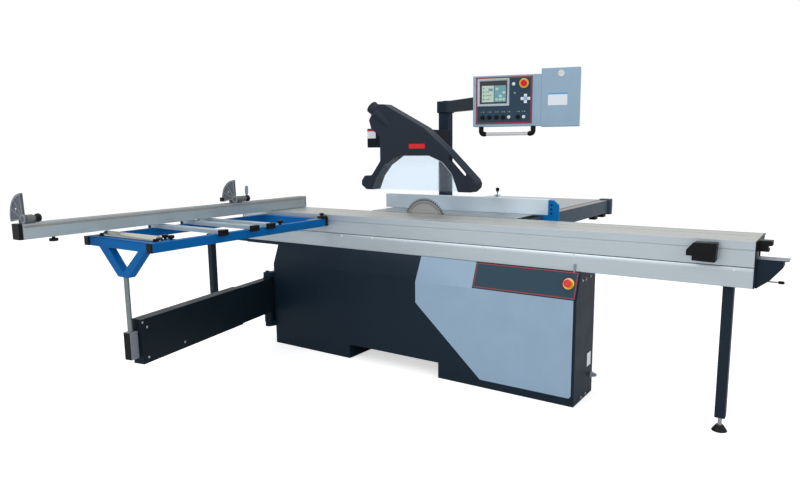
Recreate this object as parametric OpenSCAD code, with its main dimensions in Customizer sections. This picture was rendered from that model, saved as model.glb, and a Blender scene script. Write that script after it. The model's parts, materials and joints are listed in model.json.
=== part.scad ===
// Sliding table saw: carriage on a long rail, tilting saw unit, overhead guard, console and outrigger.
// Machine coordinates: X = 0 at the infeed end of the rail, Y = 0 at its operator face, Z = 0 on the floor.

/* [Carriage and rail] */
// Height of the table surface above the floor
table_z = 900; // [880:5:940]
// Length of the carriage and of the rail under it
rail_len = 3200; // [2950:50:3400]
// Width of the carriage top
carriage_w = 332; // [326:1:334]
// Height of the carriage section, skirts included
carriage_h = 114.5; // [112:0.5:116]
// Thickness of the carriage plate above its roller channel
carriage_plate_h = 48; // [46:1:50]
// Depth of the base rail section
rail_d = 125; // [118:1:126]
// Height of the base rail section
rail_h = 90; // [80:1:95]
// Reach of the tray past the infeed end of the rail
tray_reach = 127; // [115:1:140]

/* [Cabinet] */
// Length of the cabinet front
cabinet_len = 2100; // [2050:10:2150]
// Distance from the infeed end of the rail to the cabinet
cabinet_x = 757; // [700:1:800]
// How far the cabinet front stands out past the rail face
cabinet_out = 61; // [50:1:80]
// Depth of the cabinet behind the rail face
cabinet_d = 222; // [212:1:232]
// Height of the bend in the cabinet front
bend_z = 550; // [520:1:580]
// Thickness of the cabinet sheet
sheet_t = 5; // [3:0.5:6]
// Depth of the rear housing behind the cabinet
housing_d = 678; // [640:1:700]

/* [Tables] */
// Fixed table length along the cut
table_len = 1058; // [1030:1:1080]
// Fixed table width behind the blade
table_w = 542; // [520:1:560]
// Thickness of the fixed table
table_t = 40; // [36:1:44]
// Extension table width
extension_w = 985; // [900:5:1000]
// Height of the rip rail beam
rip_rail_h = 96; // [80:1:110]

/* [Saw unit] */
// Diameter of the main blade
blade_d = 315; // [300:1:316]
// Number of teeth on the main blade
blade_teeth = 48; // [24:1:72]
// Height of the blade above the table
blade_rise = 100; // [80:1:101]
// Diameter of the saw arbor
arbor_d = 30; // [25:1:30]
// Diameter of the motor body
motor_d = 170; // [140:1:190]
// Diameter of the scoring blade
scoring_d = 120; // [100:1:122]

/* [Guard] */
// Width of the guard hood
hood_w = 90; // [70:1:96]
// Side of the square guard column
column_side = 80; // [70:1:90]
// Height of the guard column
column_h = 1575; // [1540:1:1620]
// Width of the guard boom
boom_w = 142; // [120:1:150]
// Outer diameter of the guard dust spout
spout_d = 80; // [70:1:84]

/* [Console] */
// Width of the console box
console_w = 446; // [430:1:460]
// Height of the console box
console_h = 330; // [322:1:345]
// Depth of the console box
console_d = 110; // [90:1:130]
// Width of the side box
side_box_w = 245; // [220:1:260]

/* [Outrigger and fences] */
// Reach of the outrigger from the carriage
outrigger_reach = 1270; // [1200:5:1300]
// Width of the outrigger along the carriage
outrigger_w = 584; // [560:1:600]
// Length of the cross-cut fence
crosscut_len = 1960; // [1900:5:2000]
// Height of the cross-cut fence
crosscut_h = 76; // [66:1:80]
// Length of the rip fence
rip_len = 1210; // [1150:5:1240]
// Height of the rip fence
rip_h = 95; // [80:1:100]

/* [Support arm] */
// Distance from the arm hinge to the support rod
arm_reach = 1194; // [1180:1:1200]
// Height of the arm box
arm_h = 240; // [220:1:250]
// Diameter of the support rod
rod_d = 26; // [20:1:30]

/* [Hidden] */

// Fits and drawing values
round_fn = 64;
overrun = 2;
seat_gap = 0.2;
slide_gap = 0.3;
running_gap = 0.05;

// Carriage section, measured down from the table surface
skirt_t = 14;
channel_w = 136;
inner_skirt_t = 15;
lip_h = 6;
lip_run = 32;
lip_drop = 10;
tslot_y = 60;
tslot_mouth_w = 12;
tslot_mouth_h = 9;
tslot_head_w = 24;
tslot_head_h = 10;
groove_drop = 38;
groove_h = 4;
groove_d = 4;
chamber_top = 10;
chamber_h = 28;
chamber_w = 44;
chamber_pitch = 52;
chamber_y = 84;
chamber_n = 3;
carriage_z = table_z - carriage_h;
channel_z = table_z - carriage_plate_h;
skirt_in_y = skirt_t + channel_w;

// Base rail and guide bars
rail_gap = 3.5;
rail_z1 = carriage_z - rail_gap;
rail_z0 = rail_z1 - rail_h;
rail_wall = 9;
rail_chamfer_y = 8;
rail_chamfer_z = 22;
guide_w = 14;
guide_h = 14;
guide_ys = [33, 88];
guide_z = rail_z1 + seat_gap;

// Rail end plates and tray
end_plate_t = 5;
tray_y0 = 20;
tray_y1 = 118;
tray_sheet_t = 3;
tray_rise = 40;
tray_nose_rise = 10;
tray_knee_rise = 40;
tray_top_z = rail_z1 + tray_rise;
tray_nose_x = 107;
tray_nose_z = rail_z1 + tray_nose_rise;
tray_knee_x = 61;
tray_knee_z = rail_z0 + tray_knee_rise;
tray_foot_x = 12;
lever_pivot_x = 22;
lever_pivot_out = 25;
lever_pivot_y = rail_d + lever_pivot_out;
lever_pin_d = 10;
lever_hub_d = 22;
lever_hub_h = 12;
lever_rise = 6;
lever_lug_w = 28;
lever_lug_h = 10;
lever_lug_root = 12;
lever_head_d = 16;
lever_head_h = 4;
lever_hub_z = rail_z0 + lever_rise;
lever_rod_d = 8;
lever_tip_d = 12;
lever_tip_len = 24;
lever_reach = 87;

// Legs and feet
leg_side = 45;
leg_wall = 3;
leg_y = 54;
right_leg_x = -99;
left_leg_run = 426;
left_leg_x = -rail_len - left_leg_run;
leg_plate = 62;
leg_plate_t = 6;
beam_h = 25;
beam_y0 = 12;
beam_y1 = 118;
beam_end_inset = 14;
tail_w = 50;
tail_over = 24;
foot_h = 28;
foot_d = 70;
foot_top_d = 34;
stem_d = 18;
stem_h = 38;
foot_stack = foot_h + stem_h;
extension_leg_inset = 24;
extension_leg_xs = [-2150, -1650];

// Cabinet
cab_x1 = -cabinet_x;
cab_x0 = -cabinet_x - cabinet_len;
cab_y0 = -cabinet_out;
cab_top_y = -4;
cab_slope = atan2(cab_top_y - cab_y0, rail_z0 - bend_z);
notch_x0 = -2210;
notch_x1 = -1558;
notch_h = 90;
wing_x0 = -2325;
wing_x1 = -1290;
housing_y1 = cabinet_d + housing_d;
housing_z1 = table_z - table_t - seat_gap;
skid_inset = 8;
skid_t = 8;
outlet_d = 150;
outlet_wall = 3;
outlet_len = 70;
outlet_x = -1900;
outlet_z = 260;

// Front cover and control strip
cover_t = 3;
cover_left_x = -1709;
cover_top_x = -1702;
cover_r = 18;
cover_arc_step = 15;
cover_knee_z = 427;
cover_low_x = -1287;
cover_low_z = 44;
cover_inset = 14;
cover_right_x = cab_x1 - cover_inset;
strip_t = 4;
strip_from = 581;
strip_to = 8;
strip_low = 8;
strip_high = 6;
strip_estop_from = 52;
strip_x0 = cab_x1 - strip_from;
strip_x1 = cab_x1 - strip_to;
strip_z0 = bend_z + strip_low;
strip_z1 = rail_z0 - strip_high;
strip_gap = 3;
strip_estop_x = cab_x1 - strip_estop_from;
strip_estop_z = 630;
gland_y = 196;
gland_z = 101;
gland_flange_d = 34;
gland_flange_t = 8;
gland_nut_d = 26;
gland_nut_len = 14;
gland_nose_d = 17;
gland_nose_len = 10;

// Push buttons, emergency stops and selectors
estop_d = 40;
estop_cap_h = 12;
estop_lift = 14;
estop_stem_d = 16;
stem_room = 2;
button_d = 22;
button_h = 5;
button_lift = 5;
button_stem_d = 10;
stem_tail = 12;
selector_stem_d = 8;
selector_d = 24;
selector_h = 6;
selector_grip_w = 8;
selector_grip_h = 12;
selector_lift = 0.3;

// Tables and rip rail
blade_y = 350;
table_edge_y = 356;
table_x1 = -1272;
table_x0 = table_x1 - table_len;
table_y1 = table_edge_y + table_w;
pocket_half = 245;
pocket_y1 = 560;
pocket_skin = 14;
extension_x0 = -2225;
extension_h = 32;
extension_skin = 4;
extension_rim = 22;
extension_y0 = table_y1 + seat_gap;
extension_y1 = extension_y0 + extension_w;
rip_rail_d = 60;
rip_rail_wall = 5;
rip_rail_x0 = table_x1 + seat_gap;
rip_rail_x1 = rip_rail_x0 + rip_rail_d;
rip_rail_drop = 4;
rip_rail_z1 = table_z - rip_rail_drop;
rip_rail_z0 = rip_rail_z1 - rip_rail_h;
rip_rail_y0 = 420;
rip_cap_len = 60;
rip_cap_rim = 4;
rip_cap_out = 12;

// Saw unit, measured from the tilt axis on the table surface
blade_x = -1905;
arbor_z = table_z + blade_rise - blade_d / 2;
blade_t = 3.2;
tooth_shares = [[0, 0], [0.12, 1], [0.55, 1]];
tooth_depth = 8;
flange_d = 64;
flange_t = 8.6;
flange_gap = 0.2;
nut_d = 36;
nut_t = 10;
housing_d_outer = 76;
housing_gap = 1;
trunnion_r = 300;
trunnion_w = 45;
trunnion_t = 20;
trunnion_half = 290;
trunnion_from = 20;
trunnion_to = 80;
bracket_t = 24;
bracket_y0 = 470;
bracket_y1 = 720;
bracket_h = 275;
cheek_half = 210;
cheek_t = 20;
cheek_y0 = 395;
cheek_y1 = 470;
cheek_z0 = 480;
cheek_z1 = 840;
tie_h = 30;
tie_y1 = 450;
link_y0 = 425;
link_y1 = 455;
link_z0 = 620;
link_z1 = 660;
lift_y0 = 400;
lift_y1 = 440;
lift_z0 = 622;
lift_z1 = 850;
pulley_y0 = 456;
pulley_w = 24;
arbor_pulley_r = 36;
motor_pulley_r = 48;
motor_run = 60;
motor_x = blade_x + motor_run;
motor_z = 612;
motor_y0 = 492;
motor_len = 200;
motor_plate_t = 10;
motor_plate_w = 270;
motor_plate_h = 150;
motor_bore_len = 60;
motor_shaft_d = 24;
motor_shaft_room = 6;
motor_post_w = 36;
motor_post_h = 60;
motor_post_xs = [-112, 112];
motor_fin_n = 16;
motor_fin_h = 5;
motor_fin_w = 5;
belt_t = 4;
belt_gap = 0.4;
belt_inset = 2;
scoring_run = 232;
scoring_drop = 67;
scoring_x = blade_x + scoring_run;
scoring_z = table_z - scoring_drop;
scoring_shaft_d = 20;
scoring_hub_d = 34;
scoring_hub_t = 6;
scoring_blade_t = 3;
scoring_bore_len = 100;
scoring_housing_d = 46;
scoring_y0 = 362;
scoring_y1 = 425;
scoring_motor_d = 50;
scoring_motor_len = 110;

// Guard, outlined in X and Z
hood_y0 = blade_y - hood_w / 2;
hood_y1 = blade_y + hood_w / 2;
hood_x0 = -2377;
hood_x1 = -1518;
hood_lift = 144;
hood_z0 = table_z + hood_lift;
hood_len = hood_x1 - hood_x0;
hood_rise = 549;
hood_shares = [[0.05, 0], [0.11, 0], [0.155, 0.16], [0.225, 0.29], [0.34, 0.4], [0.62, 0.4], [0.73, 0.33],
    [0.81, 0.2], [0.86, 0], [0.96, 0], [0.995, 0.05], [1, 0.1], [0.985, 0.145], [0.776, 0.455],
    [0.58, 0.71], [0.225, 0.995], [0.165, 1], [0.13, 0.93], [0.085, 0.82], [0.105, 0.72], [0.185, 0.62],
    [0.185, 0.34], [0.1, 0.17], [0.035, 0.165], [0.005, 0.11], [0.005, 0.05]];
window_t = 5;
hood_wall = 9;
cavity_shares = [0.3, 0.62, 0.3, 0.56];
slot_shares = [[0.793, 0.385], [0.911, 0.2]];
slot_d = 22;
slot_plate_t = 20;
slot_pocket = 44;
spout_share = [0.199, 0.83];
spout_len = 132;
spout_base_d = 88;
spout_tip_len = 50;
spout_wall = 4;
spout_lean = 52;
boom_x = -2318;
boom_lift = 417;
boom_z0 = table_z + boom_lift;
boom_h = 126;
boom_wall = 4;
boom_y0 = hood_y1 + slide_gap;
column_x = boom_x;
column_y = 1310;
column_wall = 5;
boom_y1 = column_y - column_side / 2;
column_plate = 220;
column_plate_t = 12;
column_bolt_d = 14;
column_bolt_pitch = 180;
boom_end_t = 6;

// Console and its arm
console_turn = 18.4;
console_wall = 4;
panel_x0 = 21;
panel_x1 = 390;
panel_z0 = 16;
panel_z1_drop = 10;
panel_t = 3;
bezel_t = 4;
bezel_x0 = 31;
bezel_x1 = 240;
bezel_z0 = 133;
bezel_z1 = 310;
bezel_rim = 14;
bezel_depth = 1.5;
side_box_z0 = -6;
side_box_h = 370;
side_box_d = 140;
side_box_gap = 0.3;
side_box_wall = 4;
side_box_hole = 60;
console_estop_x = 335;
console_estop_z = 274;
start_x = 269;
start_z = 271;
row_z = 59;
cycle_x = 240;
reset_x = 337;
selector_xs = [65, 110, 158, 202, 299];
handle_x0 = 50;
handle_x1 = 396;
handle_y = 40;
handle_drop = 49;
handle_elbow_d = 34;
handle_tube_d = 22;
hub_x = 90;
hub_y = 165;
hub_d = 64;
hub_h = 56;
hub_web_w = 40;
arm_pin_over = 8;
arm_pin_d = 30;
elbow_side = 100;
elbow_h = 88;
elbow_z = column_h + slide_gap;
console_arm_w = 62;
arm_step = 2;
elbow_spigot_d = 50;
elbow_spigot_h = 60;
hub_z = elbow_z + elbow_h + slide_gap;
hub_rise = 216.6;
console_origin = [-1810, 812, hub_z - hub_rise];
console_hub = [console_origin[0] + hub_x * cos(console_turn) - hub_y * sin(console_turn),
    console_origin[1] + hub_x * sin(console_turn) + hub_y * cos(console_turn)];
console_arm_run = norm([console_hub[0] - column_x, console_hub[1] - column_y]);
console_arm_turn = atan2(console_hub[1] - column_y, console_hub[0] - column_x);

// Outrigger frame
bar_side = 40;
bar_h = 48;
bar_wall = 3;
bar_drop = 26;
bar_z1 = table_z - bar_drop;
bar_z0 = bar_z1 - bar_h;
out_x1 = -2420;
out_x0 = out_x1 - outrigger_w;
out_y1 = -3;
out_y0 = out_y1 - outrigger_reach;
inner_bar_y = -52;
cap_t = 8;
slat_w = 50;
slat_h = 21;
slat_wall = 2.5;
slat_over = 22;
slat_cap_t = 4;
slat_ys = [-876, -654, -529];
triangle_x0 = -2880;
triangle_x1 = -2486;
triangle_foot_x0 = -2729;
triangle_foot_x1 = -2640;
triangle_drop = 144;
triangle_in_x0 = -2800;
triangle_in_x1 = -2540;
triangle_foot_h = 24;
roller_d = 50;
roller_inset = 75;
roller_drop = 1;
roller_y = out_y0 + roller_inset;
roller_z = table_z - roller_d / 2 - roller_drop;
roller_x0 = -2925;
roller_x1 = -2474;
axle_d = 12;
ear_t = 8;
ear_w = 34;
ear_gap = 1;
ear_top = 14;
axle_over = 2;

// Cross-cut fence and stops
cross_x1 = -2906;
cross_w = 65;
cross_x0 = cross_x1 - cross_w;
cross_lift = 2;
cross_z0 = table_z + cross_lift;
cross_z1 = cross_z0 + crosscut_h;
cross_y1 = 330;
cross_y0 = cross_y1 - crosscut_len;
cross_wall = 5;
cross_cap_t = 20;
cross_far_cap_t = 5;
pivot_y = 60;
pivot_x = cross_x0 + cross_w / 2;
pivot_d = 16;
pivot_h = 22;
pivot_disc_d = 50;
pivot_disc_h = cross_z0 - table_z - slide_gap;
stop_slot_w = 14;
stop_slot_d = 8;
knob_inset = 157;
knob_y = cross_y0 + knob_inset;
knob_d = 42;
knob_h = 14;
knob_stem_d = 16;
knob_stem_h = 12;
stop_axis_out = 7;
stop_axis_up = 25;
stop_axis_x = cross_x1 + stop_axis_out;
stop_axis_z = cross_z1 + stop_axis_up;
stop_pin_d = 20;
stop_tube_d = 26;
stop_hub_d = 40;
stop_flap_r = 122;
stop_flap_t = 12;
stop_body_len = 50;
stop_body_h = 26;
stop_head_d = 30;
stop_head_t = 4;
stop_tube_over = 10;
flap_from = 92;
flap_to = 189;
stop_left_inset = 14;
stop_left_y = cross_y0 + stop_left_inset;
stop_right_y = -318;

// Support arm
hinge_out = 38;
hinge_front = 24;
hinge_x = cab_x0 - hinge_out;
hinge_y = cab_y0 - hinge_front;
hinge_z0 = 118;
hinge_z1 = 492;
lug_h = 32;
lug_w = 54;
hinge_pin_d = 24;
hinge_pin_top = 10;
hinge_plate_t = 10;
hinge_web_gap = 1.5;
hinge_plate_y1 = 40;
arm_turn = 11.2;
arm_z0 = 216;
beam_t = 60;
beam_wall = 4;
box_wall = 4.5;
arm_hub_d = 60;
box_from = 330;
block_len = 52;
block_w = 46;
rod_off = 17;
block_z0 = 250;
block_h = 146;
arm_beam_h = arm_h - 2 * box_wall - 2 * slide_gap;
arm_beam_z0 = arm_z0 + box_wall + slide_gap;
box_to = arm_reach - block_len / 2;
beam_end_gap = 78;
beam_to = box_to - beam_end_gap;

// Rip fence, its bracket and lever
rip_y0 = 600;
rip_w = 50;
rip_wall = 5;
rip_over = 34;
rip_lift = 0.5;
rip_x1 = rip_rail_x1 + rip_over;
rip_x0 = rip_x1 - rip_len;
rip_z0 = table_z + rip_lift;
rip_z1 = rip_z0 + rip_h;
bracket_clear = 0.4;
fence_bracket_w = 64;
fence_bracket_len = 67;
fence_bracket_cut_x = 31;
fence_bracket_cut_z = 25;
fence_bracket_low = 6;
fence_plate_t = 14;
fence_block_len = 18;
hook_inset = 10;
fence_bracket_drop = 60;
fence_bracket_z0 = rip_rail_z1 - fence_bracket_drop;
rip_lever_x = -1530;
rip_lever_d = 8;
rip_lever_h = 30;
rip_knob_d = 16;
rip_lug_w = 14;
rip_lug_h = 18;
rip_lug_gap = 12.4;
rip_pin_d = 6;
rip_lever_hub_d = 14;

// Roller truck
truck_x0 = -2300;
truck_x1 = -900;
truck_bar_y0 = 52;
truck_bar_y1 = 83;
truck_bar_h = 20;
truck_axle_d = 12;
truck_pairs = 6;
truck_inset = 60;
roller_room = channel_z - guide_z - guide_h;
truck_roller_d = roller_room - 2 * slide_gap;
truck_z = guide_z + guide_h + roller_room / 2;

// Carriage fittings
end_cap_t = 5;
handle_reach = 60;
handle_len = 56;
handle_top = 2;
handle_arm_h = 20;
handle_low_drop = 46;
handle_low_h = 12;
handle_pin_d = 16;
side_handle_x0 = -268;
side_handle_w = 124;
side_handle_lift = 17;
side_handle_z0 = carriage_z + side_handle_lift;
side_handle_h = 86;
side_handle_d = 54;
side_handle_shares = [[0, 0.27], [0, 0.57], [0.23, 0.97], [1, 1], [0.975, 0], [0.2, 0.03], [0.2, 0.27]];

// The model's origin is the middle of its floor rectangle
x_low = left_leg_x - foot_d / 2;
x_high = tray_reach;
y_low = cross_y0 - cross_cap_t;
y_high = extension_y1 + rip_cap_len;
shift_x = -(x_low + x_high) / 2;
shift_y = -(y_low + y_high) / 2;

// Paints and finishes
blue = [0.0, 0.32, 0.56];
anthracite = [0.11, 0.15, 0.19];
cover_grey = [0.58, 0.68, 0.76];
aluminium = [0.73, 0.78, 0.8];
steel = [0.6, 0.62, 0.64];
iron = [0.68, 0.67, 0.64];
black = [0.06, 0.06, 0.07];
red = [0.8, 0.07, 0.06];
white = [0.92, 0.92, 0.92];
clear = [0.8, 0.86, 0.9, 0.5];

// Shared shapes
module placed() translate([shift_x, shift_y, 0]) children();
module block(lo, hi) translate(lo) cube(hi - lo);
module along_x(x0, x1) translate([x0, 0, 0]) rotate([90, 0, 90]) linear_extrude(x1 - x0) children();
module along_y(y0, y1) translate([0, y1, 0]) rotate([90, 0, 0]) linear_extrude(y1 - y0) children();
module rod_x(at, len, d) translate(at) rotate([0, 90, 0]) cylinder(d = d, h = len, $fn = round_fn);
module rod_y(at, len, d) translate(at) rotate([-90, 0, 0]) cylinder(d = d, h = len, $fn = round_fn);
module rod_z(at, len, d) translate(at) cylinder(d = d, h = len, $fn = round_fn);

// Square tube standing on its centre point
module tube_z(at, side, wall, len) translate(at) difference() {
    translate([-side / 2, -side / 2, 0]) cube([side, side, len]);
    translate([-side / 2 + wall, -side / 2 + wall, -overrun])
        cube([side - 2 * wall, side - 2 * wall, len + 2 * overrun]);
}

// Rectangular tube between two corners, open along X or Y
module tube_box(lo, hi, wall, open) difference() {
    block(lo, hi);
    if (open == "x")
        block(lo + [-overrun, wall, wall], hi + [overrun, -wall, -wall]);
    else
        block(lo + [wall, -overrun, wall], hi + [-wall, overrun, -wall]);
}

// Console pieces are drawn from the lower left front corner of the console box
module at_console() translate(console_origin) rotate([0, 0, console_turn]) children();

// Arm pieces are drawn from the hinge axis, with the arm pointing along -Y
module at_arm() translate([hinge_x, hinge_y, 0]) rotate([0, 0, arm_turn]) children();

// A point on the control strip's outer face, with +Z along its normal
module on_strip(x, z) translate([x, cab_y0 + (z - bend_z) * tan(cab_slope) - strip_t / cos(cab_slope), z])
    rotate([90 - cab_slope, 0, 0]) children();

// A point on the console panel, with +Z pointing at the operator
module on_panel(x, z) at_console() translate([x, -panel_t, z]) rotate([90, 0, 0]) children();

// Fixed frame

module base_rail() placed() color(aluminium) {
    difference() {
        along_x(-rail_len, 0) polygon([[0, rail_z0], [rail_d, rail_z0], [rail_d, rail_z1],
            [rail_chamfer_y, rail_z1], [0, rail_z1 - rail_chamfer_z]]);
        along_x(-rail_len - overrun, overrun) translate([rail_wall + rail_chamfer_y, rail_z0 + rail_wall])
            square([rail_d - 2 * rail_wall - rail_chamfer_y, rail_h - 2 * rail_wall]);
    }
    for (y = guide_ys)
        block([-rail_len, y, guide_z], [0, y + guide_w, guide_z + guide_h]);
}

module rail_end_plates() placed() color(anthracite) {
    difference() {
        union() {
            block([0, 0, rail_z0], [end_plate_t, rail_d, rail_z1]);
            along_y(tray_y0, tray_y1) polygon([[0, rail_z0], [tray_foot_x, rail_z0], [tray_knee_x, tray_knee_z],
                [tray_nose_x, tray_nose_z], [tray_nose_x, tray_top_z - tray_sheet_t],
                [tray_reach, tray_top_z - tray_sheet_t], [tray_reach, tray_top_z], [0, tray_top_z]]);
        }
        along_y(tray_y0 + tray_sheet_t, tray_y1 - tray_sheet_t) polygon([
            [end_plate_t, rail_z0 + end_plate_t], [tray_foot_x, rail_z0 + end_plate_t],
            [tray_knee_x - tray_sheet_t, tray_knee_z + tray_sheet_t],
            [tray_nose_x - tray_sheet_t, tray_nose_z + tray_sheet_t],
            [tray_nose_x - tray_sheet_t, tray_top_z - tray_sheet_t], [end_plate_t, tray_top_z - tray_sheet_t]]);
    }
    rod_z([lever_pivot_x, lever_pivot_y, lever_hub_z - slide_gap - lever_head_h],
        lever_head_h + slide_gap + lever_hub_h + slide_gap + lever_lug_h / 2, lever_pin_d);
    rod_z([lever_pivot_x, lever_pivot_y, lever_hub_z - slide_gap - lever_head_h], lever_head_h, lever_head_d);
    block([0, rail_d - lever_lug_root, lever_hub_z + lever_hub_h + slide_gap], [lever_pivot_x + lever_lug_w / 2,
        lever_pivot_y + lever_lug_w / 2, lever_hub_z + lever_hub_h + slide_gap + lever_lug_h]);
    block([-rail_len - end_plate_t, 0, rail_z0], [-rail_len, rail_d, rail_z1]);
}

module support_legs() placed() color(anthracite) {
    tube_z([right_leg_x, leg_y, foot_stack], leg_side, leg_wall, rail_z0 - foot_stack - leg_plate_t);
    block([right_leg_x - leg_plate / 2, leg_y - leg_plate / 2, rail_z0 - leg_plate_t],
        [right_leg_x + leg_plate / 2, leg_y + leg_plate / 2, rail_z0]);
    tube_box([-rail_len + beam_end_inset, beam_y0, rail_z0 - beam_h], [cab_x0, beam_y1, rail_z0], leg_wall, "x");
    tube_box([left_leg_x - tail_over, leg_y - tail_w / 2, rail_z0 - beam_h],
        [-rail_len + beam_end_inset, leg_y + tail_w / 2, rail_z0], leg_wall, "x");
    tube_z([left_leg_x, leg_y, foot_stack], leg_side, leg_wall, rail_z0 - beam_h - foot_stack);
    for (x = extension_leg_xs)
        tube_z([x, extension_y1 - extension_leg_inset, foot_stack], leg_side, leg_wall,
            table_z - extension_h - foot_stack);
}

module levelling_foot(x, y) translate([x, y, 0]) {
    cylinder(d1 = foot_d, d2 = foot_top_d, h = foot_h, $fn = round_fn);
    cylinder(d = stem_d, h = foot_stack, $fn = round_fn);
    translate([-leg_side / 2 + leg_wall + seat_gap, -leg_side / 2 + leg_wall + seat_gap, foot_stack])
        cube([leg_side - 2 * leg_wall - 2 * seat_gap, leg_side - 2 * leg_wall - 2 * seat_gap, foot_h]);
}

module leg_feet() placed() color(black) {
    levelling_foot(right_leg_x, leg_y);
    levelling_foot(left_leg_x, leg_y);
    for (x = extension_leg_xs)
        levelling_foot(x, extension_y1 - extension_leg_inset);
}

// Bent sheet along the cabinet front, from its outer skin face inwards to its back face
module front_sheet(x0, x1, skin, back) along_x(x0, x1) polygon([
    [cab_y0 - skin, 0], [cab_y0 - skin, bend_z + skin * tan(cab_slope / 2)],
    [cab_top_y - skin / cos(cab_slope), rail_z0], [cab_top_y + back / cos(cab_slope), rail_z0],
    [cab_y0 + back, bend_z - back * tan(cab_slope / 2)], [cab_y0 + back, 0]]);

module cabinet_front() placed() color(anthracite) difference() {
    front_sheet(cab_x0, cab_x1, 0, sheet_t);
    block([notch_x0, cab_y0 - overrun, -overrun], [notch_x1, cabinet_d, notch_h]);
    on_strip(strip_estop_x, strip_estop_z)
        translate([0, 0, -estop_lift]) cylinder(d = estop_stem_d + stem_room, h = 2 * estop_lift, $fn = round_fn);
}

module front_cover() placed() color(cover_grey) intersection() {
    front_sheet(cover_left_x, cover_right_x, cover_t, 0);
    along_y(cab_y0 - cabinet_d, cabinet_d) polygon([[cover_left_x, bend_z], [cover_left_x, cover_knee_z],
        [cover_low_x, cover_low_z],
        for (a = [0 : cover_arc_step : 90])
            [cover_right_x - cover_r * (1 - sin(a)), cover_low_z + cover_r * (1 - cos(a))],
        [cover_right_x, strip_z0 - strip_gap], [strip_x0 - strip_gap, strip_z0 - strip_gap],
        [strip_x0 - strip_gap, rail_z0], [cover_top_x, rail_z0]]);
}

module control_strip() placed() color(black) difference() {
    intersection() {
        front_sheet(strip_x0, strip_x1, strip_t, 0);
        block([strip_x0, cab_y0 - cabinet_d, strip_z0], [strip_x1, cabinet_d, strip_z1]);
    }
    on_strip(strip_estop_x, strip_estop_z) translate([0, 0, -estop_lift])
        cylinder(d = estop_stem_d + 2 * running_gap, h = 2 * estop_lift, $fn = round_fn);
}

// Cabinet end, cut to the slope of the front
module cabinet_end(x0) along_x(x0, x0 + sheet_t) polygon([[cab_y0 + sheet_t, 0],
    [cab_y0 + sheet_t, bend_z - sheet_t * tan(cab_slope / 2)], [cab_top_y + sheet_t / cos(cab_slope), rail_z0],
    [cabinet_d, rail_z0], [cabinet_d, 0]]);

// Channel that carries the cabinet on the floor
module skid(x0, x1) difference() {
    block([x0, cab_y0 + sheet_t + skid_inset, 0], [x1, cabinet_d - sheet_t - skid_inset, notch_h]);
    block([x0 + skid_t, cab_y0 + sheet_t + skid_inset + skid_t, -overrun],
        [x1 - skid_t, cabinet_d - sheet_t - skid_inset - skid_t, notch_h - skid_t]);
}

module cabinet_panels() placed() color(anthracite) {
    cabinet_end(cab_x0);
    cabinet_end(cab_x1 - sheet_t);
    block([cab_x0 + sheet_t + seat_gap, cabinet_d - sheet_t, 0], [wing_x0, cabinet_d, rail_z0]);
    block([wing_x1, cabinet_d - sheet_t, 0], [cab_x1 - sheet_t - seat_gap, cabinet_d, rail_z0]);
    for (x = [wing_x0, wing_x1 - sheet_t])
        along_x(x, x + sheet_t) polygon([[cabinet_d + seat_gap, 0], [housing_y1, 0], [housing_y1, housing_z1],
            [table_edge_y, housing_z1], [table_edge_y, rail_z0], [cabinet_d + seat_gap, rail_z0]]);
    for (span = [[cab_x0 + sheet_t + seat_gap, wing_x0], [wing_x1, cab_x1 - sheet_t - seat_gap]])
        block([span[0], rail_d + seat_gap, rail_z0 - sheet_t], [span[1], cabinet_d - sheet_t - seat_gap, rail_z0]);
    difference() {
        union() {
            block([wing_x0 + sheet_t + seat_gap, housing_y1 - sheet_t, 0],
                [wing_x1 - sheet_t - seat_gap, housing_y1, housing_z1]);
            rod_y([outlet_x, housing_y1, outlet_z], outlet_len, outlet_d);
        }
        rod_y([outlet_x, housing_y1 - sheet_t - overrun, outlet_z], outlet_len + sheet_t + 2 * overrun,
            outlet_d - 2 * outlet_wall);
    }
    skid(cab_x0 + sheet_t + seat_gap, notch_x0);
    skid(notch_x1, cab_x1 - sheet_t - seat_gap);
}

module cable_gland() placed() color(black) {
    rod_x([cab_x1, gland_y, gland_z], gland_flange_t, gland_flange_d);
    translate([cab_x1 + gland_flange_t, gland_y, gland_z]) rotate([0, 90, 0])
        cylinder(d = gland_nut_d, h = gland_nut_len, $fn = 6);
    rod_x([cab_x1 + gland_flange_t + gland_nut_len, gland_y, gland_z], gland_nose_len, gland_nose_d);
}

// Fixed half of a tilt trunnion, hung under the table
module trunnion_bracket(x) difference() {
    block([x - bracket_t / 2, bracket_y0, table_z - table_t - seat_gap - bracket_h],
        [x + bracket_t / 2, bracket_y1, table_z - table_t - seat_gap]);
    rod_x([x - bracket_t, blade_y, table_z], 2 * bracket_t, 2 * (trunnion_r + slide_gap));
}

module fixed_table() placed() color(iron) {
    difference() {
        block([table_x0, table_edge_y, table_z - table_t], [table_x1, table_y1, table_z]);
        block([blade_x - pocket_half, table_edge_y - overrun, table_z - table_t - overrun],
            [blade_x + pocket_half, pocket_y1, table_z - pocket_skin]);
    }
    for (side = [-1, 1])
        trunnion_bracket(blade_x + side * trunnion_half);
}

module extension_table() placed() color(iron) difference() {
    block([extension_x0, extension_y0, table_z - extension_h], [table_x1, extension_y1, table_z]);
    block([extension_x0 + extension_rim, extension_y0 + extension_rim, table_z - extension_h - overrun],
        [table_x1 - extension_rim, extension_y1 - extension_rim, table_z - extension_skin]);
}

module rip_rail() placed() color(anthracite) {
    tube_box([rip_rail_x0, rip_rail_y0, rip_rail_z0], [rip_rail_x1, extension_y1, rip_rail_z1],
        rip_rail_wall, "y");
    block([rip_rail_x0 - rip_cap_rim, extension_y1 + seat_gap, rip_rail_z0 - rip_cap_rim],
        [rip_rail_x1 + rip_cap_out, extension_y1 + rip_cap_len, rip_rail_z1 + rip_cap_rim]);
}

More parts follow.
